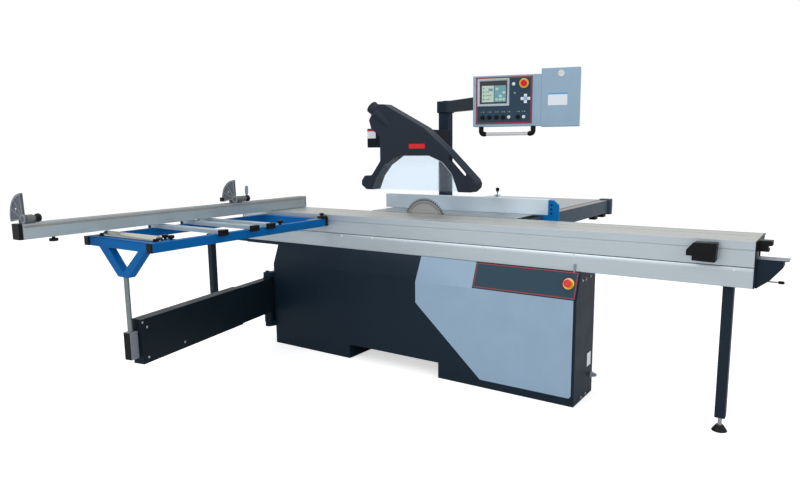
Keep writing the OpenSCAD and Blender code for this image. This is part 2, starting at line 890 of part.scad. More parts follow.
module guard_column() placed() color(anthracite) difference() {
    union() {
        tube_z([column_x, column_y, column_plate_t], column_side, column_wall, column_h - column_plate_t);
        block([column_x - column_plate / 2, column_y - column_plate / 2, 0],
            [column_x + column_plate / 2, column_y + column_plate / 2, column_plate_t]);
        block([column_x - column_side / 2, column_y - column_side / 2, column_h - column_plate_t],
            [column_x + column_side / 2, column_y + column_side / 2, column_h]);
        block([column_x + column_side / 2, column_y - column_side / 2, table_z - extension_h],
            [extension_x0, column_y + column_side / 2, table_z - extension_skin]);
    }
    for (x = [-1, 1], y = [-1, 1])
        rod_z([column_x + x * column_bolt_pitch / 2, column_y + y * column_bolt_pitch / 2, -overrun],
            column_plate_t + 2 * overrun, column_bolt_d);
    rod_z([column_x, column_y, column_h - elbow_spigot_h], 2 * elbow_spigot_h,
        elbow_spigot_d + 2 * running_gap);
}

module guard_boom() placed() color(anthracite) {
    tube_box([boom_x - boom_w / 2, boom_y0, boom_z0], [boom_x + boom_w / 2, boom_y1, boom_z0 + boom_h],
        boom_wall, "y");
    block([boom_x - boom_w / 2, boom_y0, boom_z0], [boom_x + boom_w / 2, boom_y0 + boom_end_t, boom_z0 + boom_h]);
}

module arm_hinge() placed() color(anthracite) {
    block([cab_x0 - hinge_plate_t, cab_y0 + sheet_t, hinge_z0], [cab_x0, hinge_plate_y1, hinge_z1]);
    for (z = [hinge_z0, hinge_z1 - lug_h])
        hull() {
            rod_z([hinge_x, hinge_y, z], lug_h, lug_w);
            block([cab_x0 - 2 * hinge_plate_t, cab_y0 + sheet_t, z], [cab_x0, hinge_plate_y1, z + lug_h]);
        }
    rod_z([hinge_x, hinge_y, hinge_z0], hinge_z1 - hinge_z0 + hinge_pin_top, hinge_pin_d);
    block([hinge_x - lug_w / 2, hinge_y + arm_hub_d / 2 + hinge_web_gap, hinge_z0],
        [cab_x0, hinge_y + arm_hub_d / 2 + hinge_web_gap + hinge_plate_t, hinge_z1]);
}

// Mushroom button on a stem, drawn from the face it stands on
module mushroom(travel_lift) {
    translate([0, 0, -stem_tail]) cylinder(d = estop_stem_d, h = stem_tail + travel_lift, $fn = round_fn);
    translate([0, 0, travel_lift]) cylinder(d1 = estop_stem_d, d2 = estop_d, h = estop_cap_h / 2, $fn = round_fn);
    translate([0, 0, travel_lift + estop_cap_h / 2]) cylinder(d = estop_d, h = estop_cap_h / 2, $fn = round_fn);
}

module strip_estop() placed() color(red) on_strip(strip_estop_x, strip_estop_z) mushroom(estop_lift);

// Carriage and what rides on it

module carriage_profile() polygon([[0, carriage_z], [0, table_z], [carriage_w, table_z],
    [carriage_w, table_z - lip_h], [carriage_w - lip_run, table_z - lip_drop],
    [carriage_w - lip_run - carriage_plate_h + lip_drop, channel_z], [skirt_in_y + inner_skirt_t, channel_z],
    [skirt_in_y + inner_skirt_t, carriage_z], [skirt_in_y, carriage_z], [skirt_in_y, channel_z],
    [skirt_t, channel_z], [skirt_t, carriage_z]]);

module carriage() placed() color(aluminium) difference() {
    along_x(-rail_len, 0) carriage_profile();
    along_x(-rail_len - overrun, overrun) {
        translate([tslot_y - tslot_mouth_w / 2, table_z - tslot_mouth_h])
            square([tslot_mouth_w, tslot_mouth_h + overrun]);
        translate([tslot_y - tslot_head_w / 2, table_z - tslot_mouth_h - tslot_head_h])
            square([tslot_head_w, tslot_head_h]);
        translate([-overrun, table_z - groove_drop - groove_h]) square([groove_d + overrun, groove_h]);
        for (i = [0 : chamber_n - 1])
            translate([chamber_y + i * chamber_pitch, table_z - chamber_top - chamber_h])
                square([chamber_w, chamber_h]);
    }
    rod_z([pivot_x, pivot_y, table_z - tslot_mouth_h], tslot_mouth_h + overrun, pivot_d + stem_room);
}

module carriage_fittings() placed() color(black) {
    along_x(0, end_cap_t) carriage_profile();
    along_x(-rail_len - end_cap_t, -rail_len) carriage_profile();
    block([end_cap_t, tslot_y - handle_len / 2, table_z - handle_arm_h], [handle_reach, tslot_y + handle_len / 2,
        table_z + handle_top]);
    block([end_cap_t, tslot_y - handle_len / 2, table_z - handle_low_drop],
        [handle_reach - handle_low_h, tslot_y + handle_len / 2, table_z - handle_low_drop + handle_low_h]);
    rod_z([handle_reach - 2 * handle_low_h, tslot_y, table_z - handle_low_drop], handle_low_drop, handle_pin_d);
    along_y(-side_handle_d, 0) polygon([for (p = side_handle_shares)
        [side_handle_x0 + p[0] * side_handle_w, side_handle_z0 + p[1] * side_handle_h]]);
    rod_z([pivot_x, pivot_y, table_z], pivot_disc_h, pivot_disc_d);
    rod_z([pivot_x, pivot_y, table_z - tslot_mouth_h + seat_gap], tslot_mouth_h + pivot_h, pivot_d);
}

module roller_truck() placed() color(steel) {
    block([truck_x0, truck_bar_y0, truck_z - truck_bar_h / 2], [truck_x1, truck_bar_y1, truck_z + truck_bar_h / 2]);
    for (i = [0 : truck_pairs - 1]) {
        x = truck_x0 + truck_inset + i * (truck_x1 - truck_x0 - 2 * truck_inset) / (truck_pairs - 1);
        rod_y([x, guide_ys[0], truck_z], guide_ys[1] + guide_w - guide_ys[0], truck_axle_d);
        for (y = guide_ys)
            rod_y([x, y, truck_z], guide_w, truck_roller_d);
    }
}

module lock_lever() placed() color(steel) translate([lever_pivot_x, lever_pivot_y, lever_hub_z]) difference() {
    union() {
        cylinder(d = lever_hub_d, h = lever_hub_h, $fn = round_fn);
        rod_x([0, 0, lever_hub_h / 2], lever_reach, lever_rod_d);
        rod_x([lever_reach - lever_tip_len, 0, lever_hub_h / 2], lever_tip_len, lever_tip_d);
    }
    translate([0, 0, -overrun])
        cylinder(d = lever_pin_d + 2 * running_gap, h = lever_hub_h + 2 * overrun, $fn = round_fn);
}

module outrigger_frame() placed() color(blue) {
    for (x = [out_x0, out_x1 - bar_side])
        tube_box([x, out_y0, bar_z0], [x + bar_side, out_y1, bar_z1], bar_wall, "y");
    for (y = [out_y0, inner_bar_y])
        tube_box([out_x0 + bar_side, y, bar_z0], [out_x1 - bar_side, y + bar_side, bar_z1], bar_wall, "x");
    along_y(out_y0, out_y0 + bar_side) difference() {
        polygon([[triangle_x0, bar_z0], [triangle_x1, bar_z0], [triangle_foot_x1, bar_z0 - triangle_drop],
            [triangle_foot_x0, bar_z0 - triangle_drop]]);
        polygon([[triangle_in_x0, bar_z0 + overrun], [triangle_in_x1, bar_z0 + overrun],
            [(triangle_foot_x0 + triangle_foot_x1) / 2, bar_z0 - triangle_drop + triangle_foot_h]]);
    }
}

module outrigger_fittings() placed() color(black) {
    for (x = [out_x0, out_x1 - bar_side]) {
        block([x, out_y0 - cap_t, bar_z0], [x + bar_side, out_y0, bar_z1]);
        block([x, out_y1, bar_z0], [x + bar_side, 0, bar_z1]);
    }
    for (y = slat_ys)
        block([out_x1 + slat_over, y, bar_z1], [out_x1 + slat_over + slat_cap_t, y + slat_w, bar_z1 + slat_h]);
    difference() {
        for (x = [roller_x0 - ear_gap - ear_t, roller_x1 + ear_gap])
            block([x, out_y0 + bar_side, bar_z0], [x + ear_t, roller_y + ear_w / 2, roller_z + ear_top]);
        rod_x([roller_x0 - bar_side, roller_y, roller_z], roller_x1 - roller_x0 + 2 * bar_side,
            axle_d + 2 * running_gap);
    }
}

module slats() placed() color(aluminium) for (y = slat_ys)
    tube_box([out_x0 - slat_over, y, bar_z1], [out_x1 + slat_over, y + slat_w, bar_z1 + slat_h], slat_wall, "x");

module end_roller() placed() color(steel) {
    rod_x([roller_x0, roller_y, roller_z], roller_x1 - roller_x0, roller_d);
    rod_x([roller_x0 - ear_gap - ear_t - axle_over, roller_y, roller_z],
        roller_x1 - roller_x0 + 2 * (ear_gap + ear_t + axle_over), axle_d);
}

module crosscut_fence() placed() color(aluminium) difference() {
    along_y(cross_y0, cross_y1) difference() {
        translate([cross_x0, cross_z0]) square([cross_w, crosscut_h]);
        translate([cross_x0 + cross_wall, cross_z0 + cross_wall])
            square([cross_w - 2 * cross_wall, crosscut_h - 2 * cross_wall - stop_slot_d]);
        translate([pivot_x - stop_slot_w / 2, cross_z1 - stop_slot_d]) square([stop_slot_w, stop_slot_d + overrun]);
    }
    rod_z([pivot_x, pivot_y, cross_z0 - overrun], pivot_h, pivot_d + 2 * running_gap);
}

module fence_fittings() placed() color(black) {
    block([cross_x0, cross_y0 - cross_cap_t, cross_z0], [cross_x1, cross_y0, cross_z1]);
    block([cross_x0, cross_y1, cross_z0], [cross_x1, cross_y1 + cross_far_cap_t, cross_z1]);
    rod_z([pivot_x, knob_y, cross_z0 - knob_stem_h], knob_stem_h, knob_stem_d);
    rod_z([pivot_x, knob_y, cross_z0 - knob_stem_h - knob_h], knob_h, knob_d);
}

// Sliding part of a length stop, with its flap held between y - stop_flap_t and y
module stop_body(y) {
    block([cross_x0, y + slide_gap, cross_z1 + slide_gap],
        [cross_x1, y + stop_body_len, cross_z1 + slide_gap + stop_body_h]);
    block([pivot_x - stop_slot_w / 2 + slide_gap, y + slide_gap, cross_z1 - stop_slot_d + slide_gap],
        [pivot_x + stop_slot_w / 2 - slide_gap, y + stop_body_len, cross_z1 + stop_body_h]);
    rod_y([stop_axis_x, y + slide_gap, stop_axis_z], stop_body_len + stop_tube_over, stop_tube_d);
    rod_y([stop_axis_x, y - stop_flap_t - slide_gap - stop_head_t, stop_axis_z],
        stop_flap_t + stop_head_t + stop_body_len, stop_pin_d);
    rod_y([stop_axis_x, y - stop_flap_t - slide_gap - stop_head_t, stop_axis_z], stop_head_t, stop_head_d);
}

// Swinging plate of a length stop, folded back over the fence
module stop_flap(y) difference() {
    union() {
        intersection() {
            rod_y([stop_axis_x, y - stop_flap_t, stop_axis_z], stop_flap_t, 2 * stop_flap_r);
            along_y(y - stop_flap_t, y) polygon([[stop_axis_x, stop_axis_z],
                [stop_axis_x + 2 * stop_flap_r * cos(flap_from), stop_axis_z + 2 * stop_flap_r * sin(flap_from)],
                [stop_axis_x + 2 * stop_flap_r * cos(flap_to), stop_axis_z + 2 * stop_flap_r * sin(flap_to)]]);
        }
        rod_y([stop_axis_x, y - stop_flap_t, stop_axis_z], stop_flap_t, stop_hub_d);
    }
    rod_y([stop_axis_x, y - stop_flap_t - overrun, stop_axis_z], stop_flap_t + 2 * overrun,
        stop_pin_d + 2 * running_gap);
}

module stop_body_left() placed() color(black) stop_body(stop_left_y);
module stop_body_right() placed() color(black) stop_body(stop_right_y);
module stop_flap_left() placed() color(aluminium) stop_flap(stop_left_y);
module stop_flap_right() placed() color(aluminium) stop_flap(stop_right_y);

// Support arm

module arm_beam() placed() color(anthracite) at_arm() difference() {
    union() {
        rod_z([0, 0, hinge_z0 + lug_h + slide_gap], hinge_z1 - hinge_z0 - 2 * lug_h - 2 * slide_gap, arm_hub_d);
        tube_box([-beam_t / 2, -beam_to, arm_beam_z0], [beam_t / 2, 0, arm_beam_z0 + arm_beam_h], beam_wall, "y");
    }
    rod_z([0, 0, hinge_z0], hinge_z1 - hinge_z0, hinge_pin_d + 2 * running_gap);
}

module arm_box() placed() color(anthracite) at_arm() difference() {
    block([-beam_t / 2 - slide_gap - box_wall, -box_to, arm_z0],
        [beam_t / 2 + slide_gap + box_wall, -box_from, arm_z0 + arm_h]);
    block([-beam_t / 2 - slide_gap, -box_to + box_wall, arm_z0 + box_wall],
        [beam_t / 2 + slide_gap, -box_from + overrun, arm_z0 + arm_h - box_wall]);
}

module support_rod() placed() color(steel) at_arm() {
    block([-rod_off - block_w / 2, -arm_reach - block_len / 2, block_z0],
        [-rod_off + block_w / 2, -box_to, block_z0 + block_h]);
    rod_z([-rod_off, -arm_reach, block_z0], bar_z0 - triangle_drop - slide_gap - block_z0, rod_d);
}

// Saw unit

// Moving half of a tilt trunnion
module trunnion_ring(x) intersection() {
    difference() {
        rod_x([x - trunnion_t / 2, blade_y, table_z], trunnion_t, 2 * trunnion_r);
        rod_x([x - trunnion_t, blade_y, table_z], 2 * trunnion_t, 2 * (trunnion_r - trunnion_w));
    }
    along_x(x - trunnion_t, x + trunnion_t) polygon([[blade_y, table_z],
        [blade_y + 2 * trunnion_r * cos(trunnion_from), table_z - 2 * trunnion_r * sin(trunnion_from)],
        [blade_y + 2 * trunnion_r * cos(trunnion_to), table_z - 2 * trunnion_r * sin(trunnion_to)]]);
}

module tilt_frame() placed() color(anthracite) difference() {
    union() {
        for (side = [-1, 1]) {
            x = blade_x + side * cheek_half;
            trunnion_ring(blade_x + side * trunnion_half);
            block([x - cheek_t / 2, cheek_y0, cheek_z0], [x + cheek_t / 2, cheek_y1, cheek_z1]);
            link_x = blade_x + side * (cheek_half + trunnion_half - trunnion_t / 2) / 2;
            link_half = (trunnion_half - trunnion_t / 2 - cheek_half) / 2;
            block([link_x - link_half, link_y0, link_z0], [link_x + link_half, link_y1, link_z1]);
        }
        block([blade_x - cheek_half, cheek_y0, cheek_z0], [blade_x + cheek_half, tie_y1, cheek_z0 + tie_h]);
        rod_y([scoring_x, scoring_y0, scoring_z], scoring_y1 - scoring_y0, scoring_housing_d);
        rod_y([scoring_x, scoring_y1, scoring_z], scoring_motor_len, scoring_motor_d);
    }
    rod_y([scoring_x, scoring_y0 - overrun, scoring_z], scoring_bore_len, scoring_shaft_d + 2 * running_gap);
}

module lift_carriage() placed() color(steel) difference() {
    union() {
        block([blade_x - cheek_half + cheek_t / 2 + slide_gap, lift_y0, lift_z0],
            [blade_x + cheek_half - cheek_t / 2 - slide_gap, lift_y1, lift_z1]);
        rod_y([blade_x, blade_y + blade_t / 2 + flange_gap + flange_t + housing_gap, arbor_z],
            pulley_y0 - housing_gap - blade_y - blade_t / 2 - flange_gap - flange_t - housing_gap, housing_d_outer);
        for (x = motor_post_xs)
            block([motor_x + x - motor_post_w / 2, lift_y1, lift_z0],
                [motor_x + x + motor_post_w / 2, motor_y0 - motor_plate_t, lift_z0 + motor_post_h]);
        block([motor_x - motor_plate_w / 2, motor_y0 - motor_plate_t, motor_z - motor_plate_h / 2],
            [motor_x + motor_plate_w / 2, motor_y0, motor_z + motor_plate_h / 2]);
    }
    rod_y([blade_x, blade_y, arbor_z], pulley_y0 - blade_y, arbor_d + 2 * running_gap);
    rod_y([motor_x, motor_y0 - 2 * motor_plate_t, motor_z], 3 * motor_plate_t, motor_shaft_d + motor_shaft_room);
}

module saw_arbor() placed() color(steel) {
    rod_y([blade_x, blade_y - blade_t / 2 - flange_gap - flange_t, arbor_z],
        pulley_y0 + pulley_w - blade_y + blade_t / 2 + flange_gap + flange_t, arbor_d);
    rod_y([blade_x, blade_y + blade_t / 2 + flange_gap, arbor_z], flange_t, flange_d);
    rod_y([blade_x, blade_y - blade_t / 2 - flange_gap - flange_t, arbor_z], flange_t, flange_d);
    translate([blade_x, blade_y - blade_t / 2 - flange_gap - flange_t - nut_t, arbor_z]) rotate([-90, 0, 0])
        cylinder(d = nut_d, h = nut_t, $fn = 6);
    rod_y([blade_x, pulley_y0, arbor_z], pulley_w, 2 * arbor_pulley_r);
}

module main_blade() placed() color(steel) difference() {
    translate([blade_x, blade_y + blade_t / 2, arbor_z]) rotate([90, 0, 0]) linear_extrude(blade_t)
        polygon([for (i = [0 : blade_teeth - 1], p = tooth_shares)
            (blade_d / 2 - tooth_depth + p[1] * tooth_depth)
                * [cos((i + p[0]) * 360 / blade_teeth), sin((i + p[0]) * 360 / blade_teeth)]]);
    rod_y([blade_x, blade_y - blade_t, arbor_z], 2 * blade_t, arbor_d + 2 * running_gap);
}

module motor() placed() color(black) difference() {
    union() {
        rod_y([motor_x, motor_y0, motor_z], motor_len, motor_d);
        translate([motor_x, motor_y0 + motor_plate_t, motor_z]) for (i = [0 : motor_fin_n - 1])
            rotate([0, i * 360 / motor_fin_n, 0]) translate([motor_d / 2 - motor_fin_h, 0, -motor_fin_w / 2])
                cube([2 * motor_fin_h, motor_len - 2 * motor_plate_t, motor_fin_w]);
    }
    rod_y([motor_x, motor_y0 - overrun, motor_z], motor_bore_len, motor_shaft_d + 2 * running_gap);
}

module motor_pulley() placed() color(steel) {
    rod_y([motor_x, pulley_y0, motor_z], pulley_w, 2 * motor_pulley_r);
    rod_y([motor_x, pulley_y0, motor_z], motor_y0 - pulley_y0 + motor_bore_len / 2, motor_shaft_d);
}

// Outline of the belt at a distance from both pulleys
module belt_line(gap) hull() {
    translate([blade_x, arbor_z]) circle(r = arbor_pulley_r + gap, $fn = round_fn);
    translate([motor_x, motor_z]) circle(r = motor_pulley_r + gap, $fn = round_fn);
}

module drive_belt() placed() color(black) along_y(pulley_y0 + belt_inset, pulley_y0 + pulley_w - belt_inset)
    difference() {
        belt_line(belt_gap + belt_t);
        belt_line(belt_gap);
    }

module scoring_unit() placed() color(steel) {
    rod_y([scoring_x, blade_y - scoring_blade_t / 2, scoring_z], scoring_blade_t, scoring_d);
    rod_y([scoring_x, blade_y - scoring_blade_t / 2 - scoring_hub_t, scoring_z],
        2 * scoring_hub_t + scoring_blade_t, scoring_hub_d);
    rod_y([scoring_x, blade_y, scoring_z], scoring_y1 - blade_y, scoring_shaft_d);
}

// Guard

function hood_point(p) = [hood_x0 + p[0] * hood_len, hood_z0 + p[1] * hood_rise];

module at_spout() translate([hood_point(spout_share)[0], blade_y, hood_point(spout_share)[1]])
    rotate([0, -spout_lean, 0]) children();

module guard_hood() placed() color(anthracite) difference() {
    union() {
        along_y(hood_y0, hood_y1) polygon([for (p = hood_shares) hood_point(p)]);
        at_spout() cylinder(d = spout_base_d, h = spout_len - spout_tip_len, $fn = round_fn);
        at_spout() cylinder(d = spout_d, h = spout_len, $fn = round_fn);
    }
    block([hood_x0 + cavity_shares[0] * hood_len, hood_y0 + hood_wall, hood_z0 + cavity_shares[2] * hood_rise],
        [hood_x0 + cavity_shares[1] * hood_len, hood_y1 - hood_wall, hood_z0 + cavity_shares[3] * hood_rise]);
    at_spout() cylinder(d = spout_d - 2 * spout_wall, h = spout_len + overrun, $fn = round_fn);
    slot_a = hood_point(slot_shares[0]);
    slot_b = hood_point(slot_shares[1]);
    for (p = [slot_a, slot_b])
        rod_y([p[0], hood_y0 - overrun, p[1]], hood_w + 2 * overrun, slot_d);
    translate([slot_a[0], hood_y0 - overrun, slot_a[1]])
        rotate([0, -atan2(slot_b[1] - slot_a[1], slot_b[0] - slot_a[0]), 0])
            translate([0, 0, -slot_d / 2]) cube([norm(slot_b - slot_a), hood_w + 2 * overrun, slot_d]);
    translate([slot_a[0], hood_y0 + slot_plate_t, slot_a[1]])
        rotate([0, -atan2(slot_b[1] - slot_a[1], slot_b[0] - slot_a[0]), 0])
            translate([-slot_d / 2, 0, -slot_d / 2 - slot_pocket])
                cube([norm(slot_b - slot_a) + slot_d, hood_w, slot_d + slot_pocket]);
}

module guard_window() placed() color(clear) for (y = [hood_y0, hood_y1 - window_t])
    along_y(y, y + window_t) polygon([for (i = [1 : 8]) hood_point(hood_shares[i])]);

// Console

module console_arm() placed() color(anthracite) {
    block([column_x - elbow_side / 2, column_y - elbow_side / 2, elbow_z],
        [column_x + elbow_side / 2, column_y + elbow_side / 2, elbow_z + elbow_h]);
    rod_z([column_x, column_y, elbow_z - elbow_spigot_h], elbow_spigot_h, elbow_spigot_d);
    translate([column_x, column_y, elbow_z]) rotate([0, 0, console_arm_turn])
        translate([0, -console_arm_w / 2, arm_step]) cube([console_arm_run, console_arm_w, elbow_h - 2 * arm_step]);
    rod_z([console_hub[0], console_hub[1], elbow_z], elbow_h, hub_d);
    rod_z([console_hub[0], console_hub[1], elbow_z + elbow_h / 2],
        elbow_h / 2 + slide_gap + hub_h + arm_pin_over, arm_pin_d);
}

// Where the stems of the buttons and selectors pass through
module stem_holes(y0, len, room) {
    rod_y([console_estop_x, y0, console_estop_z], len, estop_stem_d + 2 * room);
    for (p = [[start_x, start_z], [cycle_x, row_z], [reset_x, row_z]])
        rod_y([p[0], y0, p[1]], len, button_stem_d + 2 * room);
    for (x = selector_xs)
        rod_y([x, y0, row_z], len, selector_stem_d + 2 * room);
}

module console_box() placed() color(cover_grey) at_console() {
    difference() {
        union() {
            block([0, 0, 0], [console_w, console_d, console_h]);
            block([hub_x - hub_web_w / 2, console_d - console_wall, hub_z - console_origin[2]],
                [hub_x + hub_web_w / 2, hub_y, hub_z - console_origin[2] + hub_h]);
            rod_z([hub_x, hub_y, hub_z - console_origin[2]], hub_h, hub_d);
        }
        block([console_wall, console_wall, console_wall],
            [console_w - console_wall, console_d - console_wall, console_h - console_wall]);
        stem_holes(-overrun, console_wall + 2 * overrun, stem_room);
        rod_z([hub_x, hub_y, hub_z - console_origin[2] - overrun], hub_h + 2 * overrun, arm_pin_d + 2 * running_gap);
    }
    difference() {
        block([console_w + side_box_gap, 0, side_box_z0],
            [console_w + side_box_gap + side_box_w, side_box_d, side_box_z0 + side_box_h]);
        block([console_w + side_box_gap + side_box_wall, side_box_wall, side_box_z0 + side_box_wall],
            [console_w + side_box_gap + side_box_w - side_box_wall, side_box_d - side_box_wall,
                side_box_z0 + side_box_h - side_box_wall]);
        rod_z([console_w + side_box_gap + side_box_w / 2, side_box_d / 2, side_box_z0 - overrun],
            side_box_wall + 2 * overrun, side_box_hole);
    }
}

module console_panel() placed() color(black) at_console() difference() {
    union() {
        block([panel_x0, -panel_t, panel_z0], [panel_x1, 0, console_h - panel_z1_drop]);
        block([bezel_x0, -panel_t - bezel_t, bezel_z0], [bezel_x1, -panel_t, bezel_z1]);
    }
    block([bezel_x0 + bezel_rim, -panel_t - bezel_t - overrun, bezel_z0 + bezel_rim],
        [bezel_x1 - bezel_rim, -panel_t - bezel_t + bezel_depth, bezel_z1 - bezel_rim]);
    stem_holes(-panel_t - overrun, panel_t + 2 * overrun, running_gap);
}

module console_handle() placed() color(black) at_console() {
    for (x = [handle_x0, handle_x1]) {
        rod_z([x, handle_y, -handle_drop], handle_drop, handle_elbow_d);
        translate([x, handle_y, -handle_drop]) sphere(d = handle_elbow_d, $fn = round_fn);
    }
    rod_x([handle_x0, handle_y, -handle_drop], handle_x1 - handle_x0, handle_tube_d);
}

module push_button(x, z) on_panel(x, z) {
    translate([0, 0, -stem_tail]) cylinder(d = button_stem_d, h = stem_tail + button_lift, $fn = round_fn);
    translate([0, 0, button_lift]) cylinder(d = button_d, h = button_h, $fn = round_fn);
}

module selector(i) placed() color(black) on_panel(selector_xs[i], row_z) {
    translate([0, 0, -stem_tail]) cylinder(d = selector_stem_d, h = stem_tail + selector_h, $fn = round_fn);
    translate([0, 0, selector_lift]) cylinder(d = selector_d, h = selector_h, $fn = round_fn);
    translate([-selector_grip_w / 2, -selector_d / 2, selector_lift + selector_h])
        cube([selector_grip_w, selector_d, selector_grip_h]);
}

module console_estop() placed() color(red) on_panel(console_estop_x, console_estop_z) mushroom(estop_lift);
module start_button() placed() color(white) push_button(start_x, start_z);
module cycle_button() placed() color(white) push_button(cycle_x, row_z);
module reset_button() placed() color(white) push_button(reset_x, row_z);
module selector_1() selector(0);
module selector_2() selector(1);
module selector_3() selector(2);
module selector_4() selector(3);
module selector_5() selector(4);

// Rip fence

module fence_bracket() placed() color(blue) {
    along_y(rip_y0 + rip_w / 2 - fence_bracket_w / 2, rip_y0 + rip_w / 2 - fence_bracket_w / 2 + fence_plate_t)
        polygon([[rip_x1, fence_bracket_z0], [rip_x1 + fence_bracket_len, fence_bracket_z0],
            [rip_x1 + fence_bracket_len, rip_z1 - fence_bracket_low - fence_bracket_cut_z],
            [rip_x1 + fence_bracket_len - fence_bracket_cut_x, rip_z1 - fence_bracket_low],
            [rip_x1, rip_z1 - fence_bracket_low]]);
    block([rip_x1, rip_y0 + rip_w / 2 - fence_bracket_w / 2, fence_bracket_z0],
        [rip_x1 + fence_block_len, rip_y0 + rip_w / 2 + fence_bracket_w / 2, rip_z1 - fence_bracket_low]);
    block([rip_rail_x1 + bracket_clear, rip_y0 + rip_w / 2 - fence_bracket_w / 2, fence_bracket_z0],
        [rip_x1, rip_y0 + rip_w / 2 + fence_bracket_w / 2, rip_z0]);
    block([rip_rail_x0 + hook_inset, rip_y0 + rip_w / 2 - fence_bracket_w / 2, rip_rail_z1 + bracket_clear],
        [rip_x1, rip_y0 + rip_w / 2 + fence_bracket_w / 2, rip_z0]);
}

module rip_fence() placed() color(aluminium) {
    tube_box([rip_x0, rip_y0, rip_z0], [rip_x1, rip_y0 + rip_w, rip_z1], rip_wall, "x");
    for (x = [rip_lever_x - rip_lug_gap / 2 - rip_lug_w, rip_lever_x + rip_lug_gap / 2])
        block([x, rip_y0 + rip_w / 2 - rip_lug_w / 2, rip_z1], [x + rip_lug_w, rip_y0 + rip_w / 2 + rip_lug_w / 2,
            rip_z1 + rip_lug_h]);
    rod_x([rip_lever_x - rip_lug_gap, rip_y0 + rip_w / 2, rip_z1 + rip_lug_h / 2], 2 * rip_lug_gap, rip_pin_d);
}

module rip_lever() placed() color(black) translate([rip_lever_x, rip_y0 + rip_w / 2, rip_z1 + rip_lug_h / 2])
    difference() {
        union() {
            rod_x([-rip_lug_gap / 2 + slide_gap, 0, 0], rip_lug_gap - 2 * slide_gap, rip_lever_hub_d);
            cylinder(d = rip_lever_d, h = rip_lever_h, $fn = round_fn);
            translate([0, 0, rip_lever_h]) sphere(d = rip_knob_d, $fn = round_fn);
        }
        rod_x([-rip_lug_gap, 0, 0], 2 * rip_lug_gap, rip_pin_d + 2 * running_gap);
    }

base_rail();
rail_end_plates();
support_legs();
leg_feet();
cabinet_front();
front_cover();
control_strip();
cabinet_panels();
cable_gland();
fixed_table();
extension_table();
rip_rail();
guard_column();
guard_boom();
arm_hinge();
strip_estop();
carriage();
carriage_fittings();
roller_truck();
lock_lever();
outrigger_frame();
outrigger_fittings();
slats();
end_roller();
crosscut_fence();
fence_fittings();
stop_body_left();
stop_body_right();
stop_flap_left();
stop_flap_right();
arm_beam();
arm_box();
support_rod();
tilt_frame();
lift_carriage();
saw_arbor();
main_blade();
motor();
motor_pulley();
drive_belt();
scoring_unit();
guard_hood();
guard_window();
console_arm();
console_box();
console_panel();
console_handle();
console_estop();
start_button();
cycle_button();
reset_button();
selector_1();
selector_2();
selector_3();
selector_4();
selector_5();
fence_bracket();
rip_fence();
rip_lever();
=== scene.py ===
"""Sliding table saw: looks, floor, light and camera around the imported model.

Places are given in the machine's drawing frame, in millimetres: X runs from the infeed end of the rail (0) towards
the outfeed end (negative), Y from the near face of the rail away from the operator, Z from the floor up.
"""

import json
import math

import bpy
from mathutils import Matrix, Vector


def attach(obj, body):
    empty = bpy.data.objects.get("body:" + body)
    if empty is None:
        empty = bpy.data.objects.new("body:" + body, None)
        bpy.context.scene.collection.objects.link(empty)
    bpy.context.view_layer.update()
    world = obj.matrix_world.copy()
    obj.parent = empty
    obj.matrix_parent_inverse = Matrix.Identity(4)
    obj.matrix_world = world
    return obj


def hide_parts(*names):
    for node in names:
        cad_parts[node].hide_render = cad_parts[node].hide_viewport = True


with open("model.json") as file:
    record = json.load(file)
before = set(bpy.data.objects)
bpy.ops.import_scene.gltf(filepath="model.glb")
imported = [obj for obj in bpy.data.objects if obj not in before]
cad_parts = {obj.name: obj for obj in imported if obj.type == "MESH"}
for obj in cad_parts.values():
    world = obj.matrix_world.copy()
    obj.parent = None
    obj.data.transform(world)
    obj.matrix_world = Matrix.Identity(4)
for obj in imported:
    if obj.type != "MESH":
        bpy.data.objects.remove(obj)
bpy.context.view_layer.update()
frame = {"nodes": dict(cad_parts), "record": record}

# ---------------------------------------------------------------- places

MM = 0.001
# Where the drawing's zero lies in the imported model, in metres
SHIFT = Vector((1.767, -0.1466, 0.0))
MACHINE = Matrix.Translation(SHIFT) @ Matrix.Scale(MM, 4)
CONSOLE_TURN, ARM_TURN, SLOPE = (math.radians(angle) for angle in (18.4, 11.2, 21.9))
# Console: u along its front, v into it, w up
CONSOLE = MACHINE @ Matrix.Translation((-1810, 812, 1447)) @ Matrix.Rotation(CONSOLE_TURN, 4, "Z")
# Support arm, turned about its hinge
ARM = MACHINE @ Matrix.Translation((-2895, -85, 0)) @ Matrix.Rotation(ARM_TURN, 4, "Z")
# Control strip: u along the machine, v into the cabinet, w up the slope from the bend of the front
STRIP = MACHINE @ Matrix.Translation((0, -61, 550)) @ Matrix.Rotation(-SLOPE, 4, "X")
INFEED, NEAR, FAR, UP = (1, 0, 0), (0, -1, 0), (0, 1, 0), (0, 0, 1)
TABLE_Z = 900
ARBOR = Vector((-1905, 348.4, 842.5))

BODY_OF = {node: body for body, nodes in frame["record"]["behaviour"]["bodies"].items() for node in nodes}
# Nodes whose flat faces stay split, since their merged outlines would fold under the broken edges
SPLIT_FACES = {"support_legs", "guard_hood", "outrigger_frame", "console_arm", "console_box", "carriage_fittings",
               "fence_bracket", "rail_end_plates"}

# ---------------------------------------------------------------- bench tools

# Faces that meet at less than SMOOTH shade as one, and CAD triangles at less than FLAT become one face
SMOOTH, FLAT = math.radians(38), math.radians(1.5)
# Doubles: millimetres on the bench, metres on a CAD node
BENCH_MERGE, CAD_MERGE = 1e-4, 2e-6
# A normal's part along an axis from which a face counts as facing that way
FACING = 0.9


def clear():
    """Leaves edit mode with nothing selected."""
    if bpy.context.object and bpy.context.object.mode != "OBJECT":
        bpy.ops.object.mode_set(mode="OBJECT")
    bpy.ops.object.select_all(action="DESELECT")


